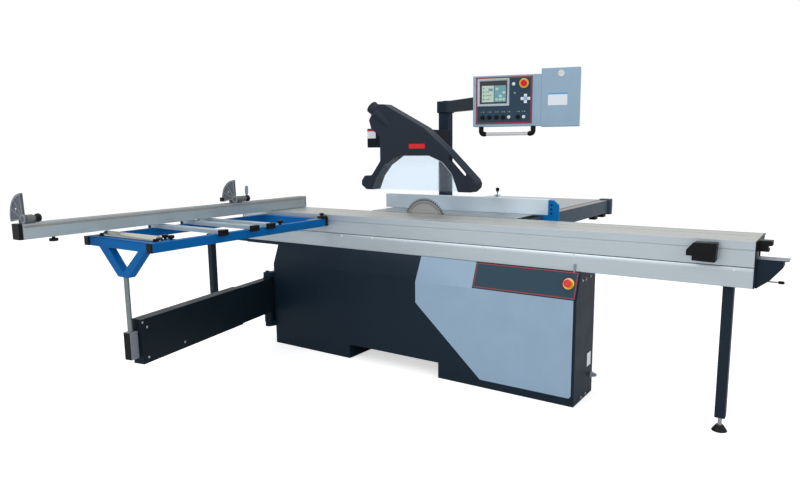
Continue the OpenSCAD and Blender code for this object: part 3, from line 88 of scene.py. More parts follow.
def take(obj):
    """Makes one piece the only selected and active one."""
    clear()
    obj.select_set(True)
    bpy.context.view_layer.objects.active = obj


def open_whole(obj):
    """Edit mode with the whole mesh selected."""
    take(obj)
    bpy.ops.object.mode_set(mode="EDIT")
    bpy.ops.mesh.select_all(action="SELECT")


def apply_place():
    """Writes the active piece's place, turn and size into its mesh."""
    bpy.ops.object.transform_apply(location=True, rotation=True, scale=True)


def on_faces(obj, test):
    """Edit mode with the faces selected that test(centre, normal) picks."""
    take(obj)
    bpy.ops.object.mode_set(mode="EDIT")
    bpy.ops.mesh.select_all(action="DESELECT")
    bpy.ops.mesh.select_mode(type="FACE")
    bpy.ops.object.mode_set(mode="OBJECT")
    for face in obj.data.polygons:
        face.select = test(face.center, face.normal)
    bpy.ops.object.mode_set(mode="EDIT")


def apply_modifier(obj, kind, **values):
    """Adds a modifier with its values and applies it."""
    take(obj)
    modifier = obj.modifiers.new(kind.title(), kind)
    for key, value in values.items():
        setattr(modifier, key, value)
    bpy.ops.object.modifier_apply(modifier=modifier.name)


def soften(obj, edge, angle=35, clamp=True):
    """Breaks the sharp edges and shades the rest smooth."""
    if edge:
        apply_modifier(obj, "BEVEL", width=edge, segments=2, limit_method="ANGLE",
                       angle_limit=math.radians(angle), use_clamp_overlap=clamp)
    take(obj)
    bpy.ops.object.shade_smooth_by_angle(angle=SMOOTH)
    apply_modifier(obj, "WEIGHTED_NORMAL", keep_sharp=True, weight=80)
    return obj


def close_up(obj):
    """Merges doubles and turns every face outwards."""
    open_whole(obj)
    bpy.ops.mesh.remove_doubles(threshold=BENCH_MERGE)
    bpy.ops.mesh.normals_make_consistent(inside=False)
    bpy.ops.object.mode_set(mode="OBJECT")


def block(lo, hi, edge):
    """A block between two corners with broken edges."""
    clear()
    lo, hi = Vector(lo), Vector(hi)
    bpy.ops.mesh.primitive_cube_add(size=1, location=(lo + hi) / 2)
    obj = bpy.context.object
    obj.scale = hi - lo
    apply_place()
    return soften(obj, edge)


def turned(base, axis, rings, sides):
    """A lathe part: a disc at base, drawn out along axis through its (distance, radius) rings."""
    clear()
    bpy.ops.mesh.primitive_circle_add(vertices=sides, radius=rings[0][1], fill_type="NGON")
    obj = bpy.context.object
    open_whole(obj)
    for (d0, r0), (d1, r1) in zip(rings, rings[1:]):
        bpy.ops.mesh.extrude_region_move(TRANSFORM_OT_translate={"value": (0, 0, d1 - d0)})
        if r1 != r0:
            bpy.ops.transform.resize(value=(r1 / r0, r1 / r0, 1), center_override=(0, 0, d1 - rings[0][0]))
    bpy.ops.object.mode_set(mode="OBJECT")
    turn = Vector(UP).rotation_difference(Vector(axis))
    obj.matrix_world = Matrix.Translation(base) @ turn.to_matrix().to_4x4()
    apply_place()
    close_up(obj)
    return soften(obj, 0)


def slab(corners, push, edge):
    """A flat outline, pulled from a filled ring of as many corners, drawn out by push."""
    clear()
    bpy.ops.mesh.primitive_circle_add(vertices=len(corners), radius=1, fill_type="NGON")
    obj = bpy.context.object
    for vertex, corner in zip(obj.data.vertices, corners):
        vertex.co = corner
    open_whole(obj)
    bpy.ops.mesh.extrude_region_move(TRANSFORM_OT_translate={"value": push})
    bpy.ops.object.mode_set(mode="OBJECT")
    close_up(obj)
    return soften(obj, edge)


def rounded(u0, u1, w0, w1, radius):
    """Corners of an upright rectangle with round corners, in the plane v = 0."""
    corners, steps = [], 5
    for cu, cw, start in ((u1 - radius, w1 - radius, 0), (u0 + radius, w1 - radius, 90),
                          (u0 + radius, w0 + radius, 180), (u1 - radius, w0 + radius, 270)):
        for step in range(steps + 1):
            a = math.radians(start + 90 * step / steps)
            corners.append(Vector((cu + radius * math.cos(a), 0, cw + radius * math.sin(a))))
    return corners


def spoke(degrees):
    """A unit step across Y, turned up from the infeed side."""
    turn = math.radians(degrees)
    return Vector((math.cos(turn), 0, math.sin(turn)))


def plate(u0, u1, w0, w1, radius, v, thick, edge):
    """An upright plate with round corners, drawn out from v towards the operator."""
    return slab([c + Vector((0, v, 0)) for c in rounded(u0, u1, w0, w1, radius)], (0, -thick, 0), edge)


def frame_line(u0, u1, w0, w1, radius, width, proud, v):
    """A thin raised line round a panel: an outline, inset and with its middle taken out."""
    obj = plate(u0, u1, w0, w1, radius, v, proud, 0)
    on_faces(obj, lambda centre, normal: abs(normal.y) > FACING)
    bpy.ops.mesh.inset(thickness=width, depth=0)
    bpy.ops.mesh.bridge_edge_loops(use_merge=False)
    bpy.ops.object.mode_set(mode="OBJECT")
    close_up(obj)
    return soften(obj, 0)


def ring(base, axis, outer, inner, height, floor, lip):
    """A collar with a thin floor, open towards axis; lip breaks its outer edge."""
    return turned(base, axis, [(0, outer), (height - lip, outer), (height, outer - lip), (height, inner),
                               (floor, inner)], 40)


def joined(*objs):
    """Several bench pieces as one."""
    clear()
    for obj in objs:
        obj.select_set(True)
    bpy.context.view_layer.objects.active = objs[0]
    if len(objs) > 1:
        bpy.ops.object.join()
    return objs[0]


def carve(obj, *cutters):
    """Cuts grooves or holes out of a finished piece."""
    for cutter in cutters:
        apply_modifier(obj, "BOOLEAN", operation="DIFFERENCE", solver="EXACT", object=cutter)
        take(cutter)
        bpy.ops.object.delete()


def wear(obj, finish):
    """Gives a piece one finish all over."""
    obj.data.materials.clear()
    obj.data.materials.append(finish)


def enlist(obj, name, finish, body, replaces):
    """Names a finished piece and lets it ride on its body, in place of the nodes it replaces."""
    obj.name = obj.data.name = name
    wear(obj, finish)
    if replaces:
        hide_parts(*replaces)
    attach(obj, body)
    return obj


def settle(obj, place):
    """Carries a bench piece to its place in the model."""
    take(obj)
    obj.matrix_world = place @ obj.matrix_world
    apply_place()


def fit(obj, name, finish, body, place=MACHINE, replaces=()):
    """Puts a bench piece in its place on the machine."""
    settle(obj, place)
    return enlist(obj, name, finish, body, replaces)


def dress(node, finish, edge, grooves=()):
    """A CAD node's shape with broken edges and its finish, in place of the node."""
    source = frame["nodes"][node]
    obj = source.copy()
    obj.data = source.data.copy()
    for key in list(obj.keys()):
        del obj[key]
    obj.parent = None
    obj.matrix_world = Matrix()
    bpy.context.collection.objects.link(obj)
    obj.hide_render = False
    open_whole(obj)
    bpy.ops.mesh.remove_doubles(threshold=CAD_MERGE)
    if node not in SPLIT_FACES:
        bpy.ops.mesh.dissolve_limited(angle_limit=FLAT)
    bpy.ops.object.mode_set(mode="OBJECT")
    for cutter in grooves:
        settle(cutter, MACHINE)
    carve(obj, *grooves)
    soften(obj, edge * MM, angle=30, clamp=False)
    return enlist(obj, node + "_finished", finish, BODY_OF[node], (node,))


# ---------------------------------------------------------------- finishes


def tone(r, g, b):
    """A colour written in 0-255 steps, as the shader takes it."""
    return [((c / 255 + 0.055) / 1.055) ** 2.4 if c > 10 else c / 255 / 12.92 for c in (r, g, b)] + [1.0]


def shade(colour, amount):
    """A colour made lighter or darker."""
    return [min(1.0, c * amount) for c in colour[:3]] + [1.0]


class Finish:
    """A material whose shader reads patterns on Object coordinates."""

    def __init__(self, name, colour, rough, metal=0.0, **sockets):
        self.material = bpy.data.materials.new(name)
        self.material.use_nodes = True
        self.material.diffuse_color = colour
        self.tree = self.material.node_tree
        self.shader = self.tree.nodes["Principled BSDF"]
        self.shader.inputs["Base Color"].default_value = colour
        self.shader.inputs["Roughness"].default_value = rough
        self.shader.inputs["Metallic"].default_value = metal
        for key, value in sockets.items():
            self.shader.inputs[key.replace("_", " ")].default_value = value
        self.colour, self.rough, self.bumps = colour, rough, None

    def node(self, kind, **values):
        """A new node with its sockets and settings."""
        new = self.tree.nodes.new("ShaderNode" + kind)
        for key, value in values.items():
            if key in new.inputs:
                new.inputs[key].default_value = value
            else:
                setattr(new, key, value)
        return new

    def link(self, source, target):
        self.tree.links.new(source, target)

    def where(self, stretch=(1, 1, 1), shift=(0, 0, 0)):
        """Object coordinates, stretched and shifted."""
        mapping = self.node("Mapping", Scale=stretch, Location=shift)
        self.link(self.node("TexCoord").outputs["Object"], mapping.inputs["Vector"])
        return mapping.outputs["Vector"]

    def noise(self, scale, detail, stretch=(1, 1, 1)):
        """A cloudy pattern from about 0.3 to 0.7."""
        noise = self.node("TexNoise", Scale=scale, Detail=detail, Roughness=0.55)
        self.link(self.where(stretch), noise.inputs["Vector"])
        return noise.outputs["Fac"]

    def span(self, source, low, high, start=0.3, stop=0.7):
        """Carries start..stop of a source over to low..high."""
        out = self.node("MapRange")
        self.link(source, out.inputs["Value"])
        out.inputs["From Min"].default_value, out.inputs["From Max"].default_value = start, stop
        out.inputs["To Min"].default_value, out.inputs["To Max"].default_value = low, high
        return out.outputs["Result"]

    def mix(self, factor, low, high):
        """low and high are colours or colour outputs."""
        mix = self.node("Mix", data_type="RGBA")
        self.link(factor, mix.inputs[0])
        for socket, value in ((mix.inputs[6], low), (mix.inputs[7], high)):
            if hasattr(value, "is_linked"):
                self.link(value, socket)
            else:
                socket.default_value = value
        return mix.outputs[2]

    def paint(self, output):
        """Takes the base colour from an output."""
        self.link(output, self.shader.inputs["Base Color"])
        return self

    def mottle(self, scale, amount, rough_amount=0.0):
        """Faint clouds in the colour and, where given, in the roughness."""
        fac = self.noise(scale, 4.0)
        self.paint(self.mix(self.span(fac, 0, 1), shade(self.colour, 1 - amount), shade(self.colour, 1 + amount)))
        if rough_amount:
            self.link(self.span(fac, self.rough - rough_amount, self.rough + rough_amount),
                      self.shader.inputs["Roughness"])
        return self

    def bump(self, height, strength, depth):
        """Adds a relief on top of those before it."""
        bump = self.node("Bump", Strength=strength, Distance=depth)
        self.link(height, bump.inputs["Height"])
        if self.bumps:
            self.link(self.bumps, bump.inputs["Normal"])
        self.bumps = bump.outputs["Normal"]
        self.link(self.bumps, self.shader.inputs["Normal"])
        return self


def powder_coat(name, colour, rough, gloss=0.5):
    """Baked paint: a fine orange-peel skin and faint cloudiness."""
    coat = Finish(name, colour, rough, Specular_IOR_Level=gloss)
    coat.mottle(7, 0.04, rough_amount=0.05)
    coat.bump(coat.noise(900, 2.0), 0.12, 0.0004)
    coat.bump(coat.noise(2600, 1.0), 0.08, 0.0002)
    return coat.material


def drawn_metal(name, colour, rough, metal, along=INFEED, lines=900.0, amount=0.06, top=None):
    """Extruded or ground metal with fine lines along one way; top, where given, is the tone of its level faces:
    painted shade and reflection for how light falls on tops.
    """
    finish = Finish(name, colour, rough, metal)
    streaks = finish.noise(lines, 2.0, tuple(0.004 if a else 1.0 for a in along))
    cloud = finish.noise(3.5, 3.0)
    base = finish.mix(finish.span(streaks, 0, 1), shade(colour, 1 - amount), shade(colour, 1 + amount))
    base = finish.mix(finish.span(cloud, 0, 0.35), base, shade(colour, 0.93))
    # Level faces blend to the top tone: painted shade and reflection
    if top:
        level = finish.node("SeparateXYZ")
        finish.link(finish.node("NewGeometry").outputs["Normal"], level.inputs[0])
        top_shade = finish.mix(finish.span(streaks, 0, 1), shade(top, 1 - amount), shade(top, 1 + amount))
        base = finish.mix(finish.span(level.outputs["Z"], 0, 1), base, top_shade)
    finish.paint(base)
    finish.link(finish.span(streaks, rough - 0.07, rough + 0.07), finish.shader.inputs["Roughness"])
    return finish.bump(streaks, 0.08, 0.0003).material


def moulded_plastic(name, colour, rough, gloss=0.35):
    """Black or coloured plastic with a fine grained skin."""
    plastic = Finish(name, colour, rough, Specular_IOR_Level=gloss)
    plastic.mottle(60, 0.10, rough_amount=0.06)
    cells = plastic.node("TexVoronoi", Scale=700.0)
    plastic.link(plastic.where(), cells.inputs["Vector"])
    return plastic.bump(cells.outputs["Distance"], 0.10, 0.0003).material


def glossy_plastic(name, colour, rough=0.22):
    """Smooth coloured plastic with a clear skin."""
    plastic = Finish(name, colour, rough, Coat_Weight=0.4, Coat_Roughness=0.08)
    plastic.mottle(40, 0.05, rough_amount=0.03)
    return plastic.bump(plastic.noise(220, 2.0), 0.05, 0.0004).material


def saw_steel():
    """Blade plate: fine turning marks about the arbor, a dark line inside the rim, and a dark band under the teeth
    that is painted shade.
    """
    dark, pale = tone(92, 95, 99), tone(160, 159, 158)
    hub = MACHINE @ ARBOR
    finish = Finish("saw_steel", tone(168, 167, 166), 0.36, 0.85)
    radius = finish.node("VectorMath", operation="LENGTH")
    finish.link(finish.where((1, 0, 1), (-hub.x, 0, -hub.z)), radius.inputs[0])
    distance = radius.outputs["Value"]
    marks = finish.node("TexNoise", noise_dimensions="1D", Scale=900.0, Detail=2.0)
    finish.link(distance, marks.inputs["W"])
    steel_plate = finish.mix(finish.span(marks.outputs["Fac"], 0, 1), tone(148, 147, 146), tone(186, 185, 184))
    # The band at 137 to 139 mm, just inside the gullets, is painted shade darkening the rim
    for start, stop, colour in ((0.1215, 0.1225, dark), (0.1255, 0.1265, pale), (0.1370, 0.1390, dark)):
        steel_plate = finish.mix(finish.span(distance, 0, 1, start, stop), steel_plate, colour)
    finish.paint(steel_plate)
    return finish.bump(marks.outputs["Fac"], 0.1, 0.0002).material


dark_paint = powder_coat("dark_powder_coat", tone(18, 35, 49), 0.45, 0.16)
column_paint = powder_coat("column_powder_coat", tone(22, 41, 59), 0.5, 0.14)
boom_paint = powder_coat("boom_powder_coat", tone(14, 21, 33), 0.5, 0.1)
leg_paint = powder_coat("leg_powder_coat", tone(24, 38, 50), 0.45, 0.16)
arm_paint = powder_coat("arm_powder_coat", tone(13, 26, 34), 0.45, 0.16)
blue_paint = powder_coat("blue_powder_coat", tone(0, 96, 164), 0.5, 0.1)
# The fence bracket wears the blue paint made brighter: painted light for the way light falls on it
lit_bracket_paint = powder_coat("bracket_painted_light_coat", tone(0, 120, 194), 0.5, 0.1)
cover_paint = powder_coat("cover_powder_coat", tone(150, 176, 199), 0.45, 0.3)
console_paint = powder_coat("console_powder_coat", tone(154, 180, 202), 0.45, 0.3)
hood_plastic = powder_coat("hood_moulding", tone(29, 39, 52), 0.55, 0.2)
rail_paint = powder_coat("rail_powder_coat", tone(62, 78, 93), 0.45, 0.3)
tray_paint = powder_coat("tray_top_coat", tone(128, 134, 150), 0.4, 0.4)
strip_film = powder_coat("strip_film", tone(46, 70, 85), 0.6, 0.18)
panel_film = powder_coat("panel_film", tone(46, 68, 86), 0.55, 0.2)
# The top tones of the carriage and fence aluminium are painted shade and reflection on their level faces
aluminium = drawn_metal("extruded_aluminium", tone(190, 201, 208), 0.38, 0.6, top=tone(168, 171, 166))
fence_aluminium = drawn_metal("fence_aluminium", tone(170, 184, 191), 0.4, 0.65, along=FAR,
                              top=tone(138, 135, 126))
rip_aluminium = drawn_metal("rip_aluminium", tone(216, 230, 241), 0.42, 0.5, along=FAR)
slat_aluminium = drawn_metal("slat_aluminium", tone(172, 188, 199), 0.4, 0.65)
ground_iron = drawn_metal("ground_table", tone(146, 152, 156), 0.36, 0.7, lines=1300.0)
steel = drawn_metal("bright_steel", tone(172, 174, 174), 0.24, 0.95, along=(0, 0, 0), lines=500.0, amount=0.04)
roller_steel = drawn_metal("roller_chrome", tone(190, 188, 178), 0.2, 0.95, lines=300.0, amount=0.05)
zinc = drawn_metal("zinc_steel", tone(128, 137, 138), 0.42, 0.7, along=(0, 0, 0), lines=60.0, amount=0.10)
blade_steel = saw_steel()
black_plastic = moulded_plastic("black_plastic", tone(14, 15, 18), 0.45, 0.16)
grey_plastic = moulded_plastic("grey_plastic", tone(138, 150, 160), 0.5)
bezel_plastic = moulded_plastic("bezel_plastic", tone(182, 196, 208), 0.5)
white_plastic = glossy_plastic("white_plastic", tone(222, 225, 228), 0.3)
cap_plastic = moulded_plastic("cap_plastic", tone(224, 230, 234), 0.5)
red_plastic = moulded_plastic("red_plastic", tone(222, 8, 36), 0.4)
yellow_plastic = glossy_plastic("yellow_plastic", tone(240, 188, 12))
red_line = moulded_plastic("red_line", tone(164, 54, 56), 0.5)
chip_red = moulded_plastic("red_plate", tone(216, 30, 34), 0.5)
blue_band = glossy_plastic("label_band", tone(96, 160, 206), 0.45)
rubber = moulded_plastic("belt_rubber", tone(26, 26, 27), 0.7)
cast_grey = moulded_plastic("cast_grey", tone(84, 89, 98), 0.5)
rib_grey = moulded_plastic("rib_grey", tone(128, 133, 141), 0.5)
sleeve_grey = moulded_plastic("sleeve_grey", tone(104, 107, 105), 0.5)
painted_shade_black = powder_coat("painted_shade_black", tone(9, 10, 12), 0.8, 0.05)
key_blue = moulded_plastic("key_blue", tone(158, 188, 226), 0.5)
motor_paint = powder_coat("motor_casting", tone(70, 76, 82), 0.55)
scale_film = moulded_plastic("scale_film", tone(150, 148, 142), 0.5)
label_film = powder_coat("bare_label", tone(232, 240, 248), 0.5, 0.3)
screen_black = glossy_plastic("screen_glass", tone(14, 18, 22), 0.1)
screen_pale = glossy_plastic("screen_pale", tone(196, 218, 202), 0.25)
screen_blue = glossy_plastic("screen_blue", tone(104, 166, 178), 0.25)
screen_key = glossy_plastic("screen_key", tone(122, 150, 160), 0.25)

clear_sheet = Finish("milky_window", tone(240, 247, 253), 0.1, Transmission_Weight=0.97, IOR=1.1,
                     Specular_IOR_Level=0.2)
clear_sheet.bump(clear_sheet.noise(14, 2.0), 0.03, 0.001)
window = clear_sheet.mottle(6, 0.01).material

# ---------------------------------------------------------------- the CAD pieces, dressed

for node, finish, edge in (
        ("base_rail", aluminium, 1.5), ("support_legs", leg_paint, 2.0), ("cabinet_front", dark_paint, 1.2),
        ("front_cover", cover_paint, 0.8),
        ("control_strip", strip_film, 0.8), ("cabinet_panels", dark_paint, 1.2), ("cable_gland", grey_plastic, 1.0),
        ("fixed_table", ground_iron, 1.2), ("extension_table", ground_iron, 1.2),
        ("guard_column", column_paint, 2.0), ("guard_boom", boom_paint, 4.0), ("arm_hinge", dark_paint, 1.5),
        ("strip_estop", red_plastic, 2.5), ("carriage_fittings", black_plastic, 3.0),
        ("lock_lever", steel, 0.8), ("outrigger_frame", blue_paint, 2.5), ("outrigger_fittings", black_plastic, 1.2),
        ("slats", slat_aluminium, 1.0), ("end_roller", roller_steel, 1.0), ("crosscut_fence", fence_aluminium, 1.2),
        ("fence_fittings", black_plastic, 1.5), ("stop_body_left", cast_grey, 1.2),
        ("stop_body_right", cast_grey, 1.2), ("stop_flap_left", cast_grey, 1.5),
        ("stop_flap_right", cast_grey, 1.5), ("arm_beam", arm_paint, 1.5), ("arm_box", arm_paint, 2.0),
        ("guard_hood", hood_plastic, 3.0), ("guard_window", window, 0.6),
        ("console_arm", dark_paint, 4.0), ("console_box", console_paint, 3.0), ("console_panel", panel_film, 0.8),
        ("console_estop", red_plastic, 2.0), ("start_button", white_plastic, 1.0),
        ("cycle_button", white_plastic, 1.0), ("reset_button", white_plastic, 1.0),
        *[("selector_%d" % place, black_plastic, 0.8) for place in range(1, 6)],
        ("fence_bracket", lit_bracket_paint, 3.0), ("rip_fence", rip_aluminium, 1.5), ("rip_lever", grey_plastic, 1.5)):
    dress(node, finish, edge)

tray = dress("rail_end_plates", dark_paint, 2.0)
feet = dress("leg_feet", black_plastic, 1.2)
rail = dress("rip_rail", rail_paint, 1.5)
rod = dress("support_rod", zinc, 1.5)
# Two grooves along the carriage top, cut past both its ends
carriage = dress("carriage", aluminium, 1.5, [block((-4000, y, TABLE_Z - 3), (200, y + 5, TABLE_Z + 4), 0)
                                              for y in (195, 298)])

# Inner parts keep the CAD shape
for node, finish in (("roller_truck", steel), ("tilt_frame", motor_paint), ("lift_carriage", motor_paint),
                     ("saw_arbor", steel), ("motor", motor_paint), ("motor_pulley", steel), ("drive_belt", rubber),
                     ("scoring_unit", steel)):
    wear(frame["nodes"][node], finish)

# ---------------------------------------------------------------- details


def bent_bar(points, radius, bend):
    """A round bar along a path whose corners are bent, drawn as a curve and made a mesh."""
    steps, roundness = 8, 10
    clear()
    bpy.ops.curve.primitive_nurbs_path_add()
    obj = bpy.context.object
    path = [Vector(points[0])]
    for before, corner, after in zip(points, points[1:], points[2:]):
        into, out = (Vector(before) - Vector(corner)).normalized(), (Vector(after) - Vector(corner)).normalized()
        for step in range(steps + 1):
            t = step / steps
            path.append(Vector(corner) + into * bend * (1 - t) ** 2 + out * bend * t ** 2)
    path.append(Vector(points[-1]))
    obj.data.splines.clear()
    spline = obj.data.splines.new("POLY")
    spline.points.add(len(path) - 1)
    for point, place in zip(spline.points, path):
        point.co = (*place, 1)
    obj.data.dimensions, obj.data.bevel_depth, obj.data.bevel_resolution = "3D", radius, roundness
    obj.data.use_fill_caps = True
    bpy.ops.object.convert(target="MESH")
    close_up(obj)
    return soften(obj, 0)


def screw(base, axis, radius):
    """A round screw head with a socket."""
    return turned(base, axis, [(0, radius), (0.4 * radius, radius), (0.65 * radius, 0.75 * radius),
                               (0.65 * radius, 0.45 * radius), (0.3 * radius, 0.42 * radius)], 18)


def bolt(base, axis):
    """A hexagon head on a washer."""
    radius = 6.0
    washer = turned(base, axis, [(0, 1.4 * radius), (1.2, 1.4 * radius), (1.6, 1.3 * radius)], 24)
    return joined(washer, turned(base, axis, [(0, radius), (4.4, radius), (5.4, 0.85 * radius)], 6))


def knob(base, axis, radius, height, stem, sides):
    """A clamping knob: waist, rounded grip and flat crown."""
    return turned(base, axis, [(0, stem * radius), (0.3 * height, stem * radius), (0.36 * height, 0.85 * radius),
                               (0.5 * height, radius), (0.82 * height, radius), (0.95 * height, 0.85 * radius),
                               (height, 0.55 * radius)], sides)


def second_finish(obj, finish, test):
    """Gives the faces that test(centre, normal) picks, in drawing millimetres, another finish."""
    obj.data.materials.append(finish)
    for face in obj.data.polygons:
        if test((face.center - SHIFT) / MM, face.normal):
            face.material_index = len(obj.data.materials) - 1


# Rail and carriage: caps square to the sloped face of the rail, end screws, end block, peg and the lock lever's grip
CAP_AXIS = (0, -0.94, 0.342)
fit(joined(*[turned((x, 5, 770.6), CAP_AXIS, [(0, 7), (2.6, 7), (3.6, 5), (3.9, 2)], 20)
             for x in (-78, -804, -1307, -1817, -2063, -2305)]),
    "rail_screw_caps", cap_plastic, "frame")
fit(joined(*[screw((4.7, y, 876), INFEED, 5) for y in (112, 190, 262)]),
    "carriage_end_screws", steel, "carriage")
fit(block((4.5, 34, 864), (44, 86, 884), 2), "carriage_end_block", black_plastic, "carriage")
fit(turned((-791, -4.5, 688), UP, [(0, 5), (27, 5), (28, 6.4), (38, 6.4), (40, 4.5)], 20),
    "rail_end_peg", grey_plastic, "frame")
# The faces inside the carriage's two top grooves take the dark motor paint: painted shade in the grooves
second_finish(carriage, motor_paint,
              lambda centre, normal: TABLE_Z - 4 < centre.z < TABLE_Z - 0.5 and 190 < centre.y < 310)
second_finish(tray, tray_paint, lambda centre, normal: normal.z > FACING and centre.z > 815)
second_finish(feet, steel, lambda centre, normal: abs(normal.z) < 0.5 and 24 < centre.z < 66)
fit(turned((84, 150, 704), INFEED, [(0, 5.5), (2, 7.2), (20, 7.2), (24.5, 5), (25, 3)], 20),
    "lever_grip", black_plastic, "lever")

# Cabinet end and control strip
STEEP, STRIP_FACE = 1 / math.cos(SLOPE), -4
fit(frame_line(-1335, -768, 8 * STEEP + 3, 143 * STEEP - 7, 5, 4, 0.8, STRIP_FACE),
    "strip_border", red_line, "frame", STRIP)
fit(ring((-809, STRIP_FACE, 80 * STEEP), NEAR, 29, 11, 5.5, 0.8, 1.4),
    "strip_stop_ring", yellow_plastic, "frame", STRIP)
fit(joined(*[bolt((-757, y, z), INFEED) for y, z in ((48, 19), (114, 19), (20, 645), (70, 644), (141, 647))]),
    "cabinet_end_bolts", steel, "frame")
fit(block((-757.4, 132, 161), (-756.2, 188, 233), 0.4), "cabinet_end_label", label_film, "frame")

# Guard: bare plate, spout fairing and beads, boom label and column strip
fit(plate(-1990, -1871, 1308, 1337, 4, 305.4, 2.4, 0.6), "guard_plate", chip_red, "guard")
SPOUT, SPOUT_AXIS = Vector((-2206.06, 350, 1499.67)), spoke(90 + 52)
fit(turned(SPOUT - 130 * SPOUT_AXIS, SPOUT_AXIS,
           [(0, 40), (60, 47), (120, 52), (186, 55), (194, 54), (199, 49), (200, 43)], 40),
    "spout_fairing", hood_plastic, "guard")
fit(joined(*[turned(SPOUT + t * SPOUT_AXIS, SPOUT_AXIS, [(0, 39), (1.5, 41.2), (4.5, 41.2), (6, 39)], 40)
             for t in (112, 126)]), "spout_beads", hood_plastic, "guard")
fit(block((-2386, 394, 1378), (-2316, 395.6, 1436), 0.4), "boom_label", label_film, "frame")
fit(block((-2386, 393.6, 1424), (-2316, 394.6, 1436), 0.3), "boom_label_band", chip_red, "frame")
fit(block((-2278.6, 1296, 1250), (-2277, 1312, 1422), 0.4), "column_strip", label_film, "frame")

# Saw blade with its teeth, each drawn as (radius, share of the pitch) from its tip
TEETH, BLADE_T = 56, 3.2
TOOTH = ((157.4, 0.0), (145.0, 0.05), (142.0, 0.25), (143.5, 0.45), (153.0, 0.62), (156.2, 0.95))
rim = [ARBOR + radius * spoke(360 * (tooth + share) / TEETH) for tooth in range(TEETH) for radius, share in TOOTH]
fit(slab(rim, (0, BLADE_T, 0), 0), "toothed_blade", blade_steel, BODY_OF["main_blade"],
    replaces=("main_blade",))

# Console front: everything stands on the face of its panel
FRONT, SCREEN, ROWS = -3.0, -6.6, -6.9
SELECTORS_U, LAMPS_U = (65, 110, 158, 202, 299), (238, 335)
HUB_U, HUB_W = 346, 176


def on_console(obj, name, finish, replaces=()):
    fit(obj, name, finish, "console", CONSOLE, replaces)


def tile(u0, u1, w0, w1, v):
    """A thin field on the screen with its face at v."""
    return block((u0, v, w0), (u1, v + 0.6, w1), 0.1)


def key(u, w, half_w, proud, edge):
    """A panel key about (u, w)."""
    return block((u - 10, FRONT - proud, w - half_w), (u + 10, FRONT + 0.5, w + half_w), edge)


def mark(u0, u1, w0, w1):
    """A printed mark on the panel."""
    return block((u0, FRONT - 0.5, w0), (u1, FRONT + 0.3, w1), 0.1)


on_console(frame_line(23, 388, 18, 318, 12, 7, 0.8, FRONT), "panel_border", red_line)
bezel = plate(30.5, 240.5, 132.5, 310.5, 5, FRONT, 4.8, 1.0)
carve(bezel, block((45.5, FRONT - 9, 147.5), (225.5, FRONT + 4, 295.5), 0))
on_console(bezel, "screen_bezel", bezel_plastic)
on_console(plate(44, 227, 146, 297, 4, -5.4, 0.7, 0.2), "screen_glass", screen_black)
on_console(tile(60, 139, 159, 265, SCREEN), "screen_list", screen_pale)
on_console(tile(143, 218, 159, 265, SCREEN), "screen_view", screen_blue)
rows = [tile(66, 76, w, w + 10, ROWS) for w in (172, 196, 220, 244)]
rows += [tile(84, u, w + 3, w + 8, ROWS) for w, u in ((172, 116), (196, 124), (220, 108))]
on_console(joined(*rows, tile(104, 132, 230, 247, ROWS)), "screen_rows", screen_key)
on_console(joined(*[tile(u, u + 18, w, w + 14, ROWS) for u, w in (
    (150, 168), (174, 168), (174, 190), (196, 212), (150, 236), (196, 168))]), "screen_tiles", screen_pale)
on_console(ring((335, FRONT, 274), NEAR, 31, 11, 6, 0.8, 1.6), "panel_stop_ring", yellow_plastic)
on_console(turned((276, FRONT, 213), NEAR, [(0, 7), (2, 7), (2.6, 5.5), (4.6, 4.5), (5.4, 2.5)], 24),
           "panel_lamp", grey_plastic)
on_console(joined(*[key(HUB_U + du, HUB_W + dw, 9.5, 3, 1.5) for du, dw in ((0, 20), (0, -20), (-21, 0), (21, 0))]),
           "arrow_keys", label_film)
on_console(key(HUB_U, HUB_W, 9, 2.2, 1.0), "arrow_hub", key_blue)
marks = []
for u in sorted(SELECTORS_U + LAMPS_U):
    marks += [mark(u - 10, u - 5, 92, 97), mark(u + 2, u + 11, 91, 98)]
on_console(joined(*marks), "knob_marks", grey_plastic)
on_console(joined(*[ring((u, FRONT, 59), NEAR, 14.5, 12.6, 2.2, 0.6, 0.5) for u in SELECTORS_U]),
           "selector_rings", black_plastic)

# Console side box and handle
on_console(turned((570, 0.5, 327), NEAR, [(0, 21), (4, 21), (5.6, 19), (5.6, 7), (4, 6.6)], 32),
           "door_lock", white_plastic)
on_console(block((490, -0.9, 128), (612, 0.4, 207), 0.3), "door_label", label_film)
on_console(block((490, -1.3, 196), (612, -0.5, 207), 0.2), "door_label_band", blue_band)
GRIP_V, GRIP_W = 40, -49
elbows = []
for foot, inward in ((50, 1), (396, -1)):
    elbows += [bent_bar([(foot, GRIP_V, 1), (foot, GRIP_V, GRIP_W), (foot + 25 * inward, GRIP_V, GRIP_W)], 16.5, 22),
               turned((foot + 23 * inward, GRIP_V, GRIP_W), (inward, 0, 0), [(0, 16.5), (3, 15), (12, 13.5)], 28)]
on_console(joined(*elbows), "handle_elbows", black_plastic, ("console_handle",))
on_console(turned((77, GRIP_V, GRIP_W), INFEED, [(0, 11), (1, 11.4), (291, 11.4), (292, 11)], 28),
           "handle_tube", white_plastic)

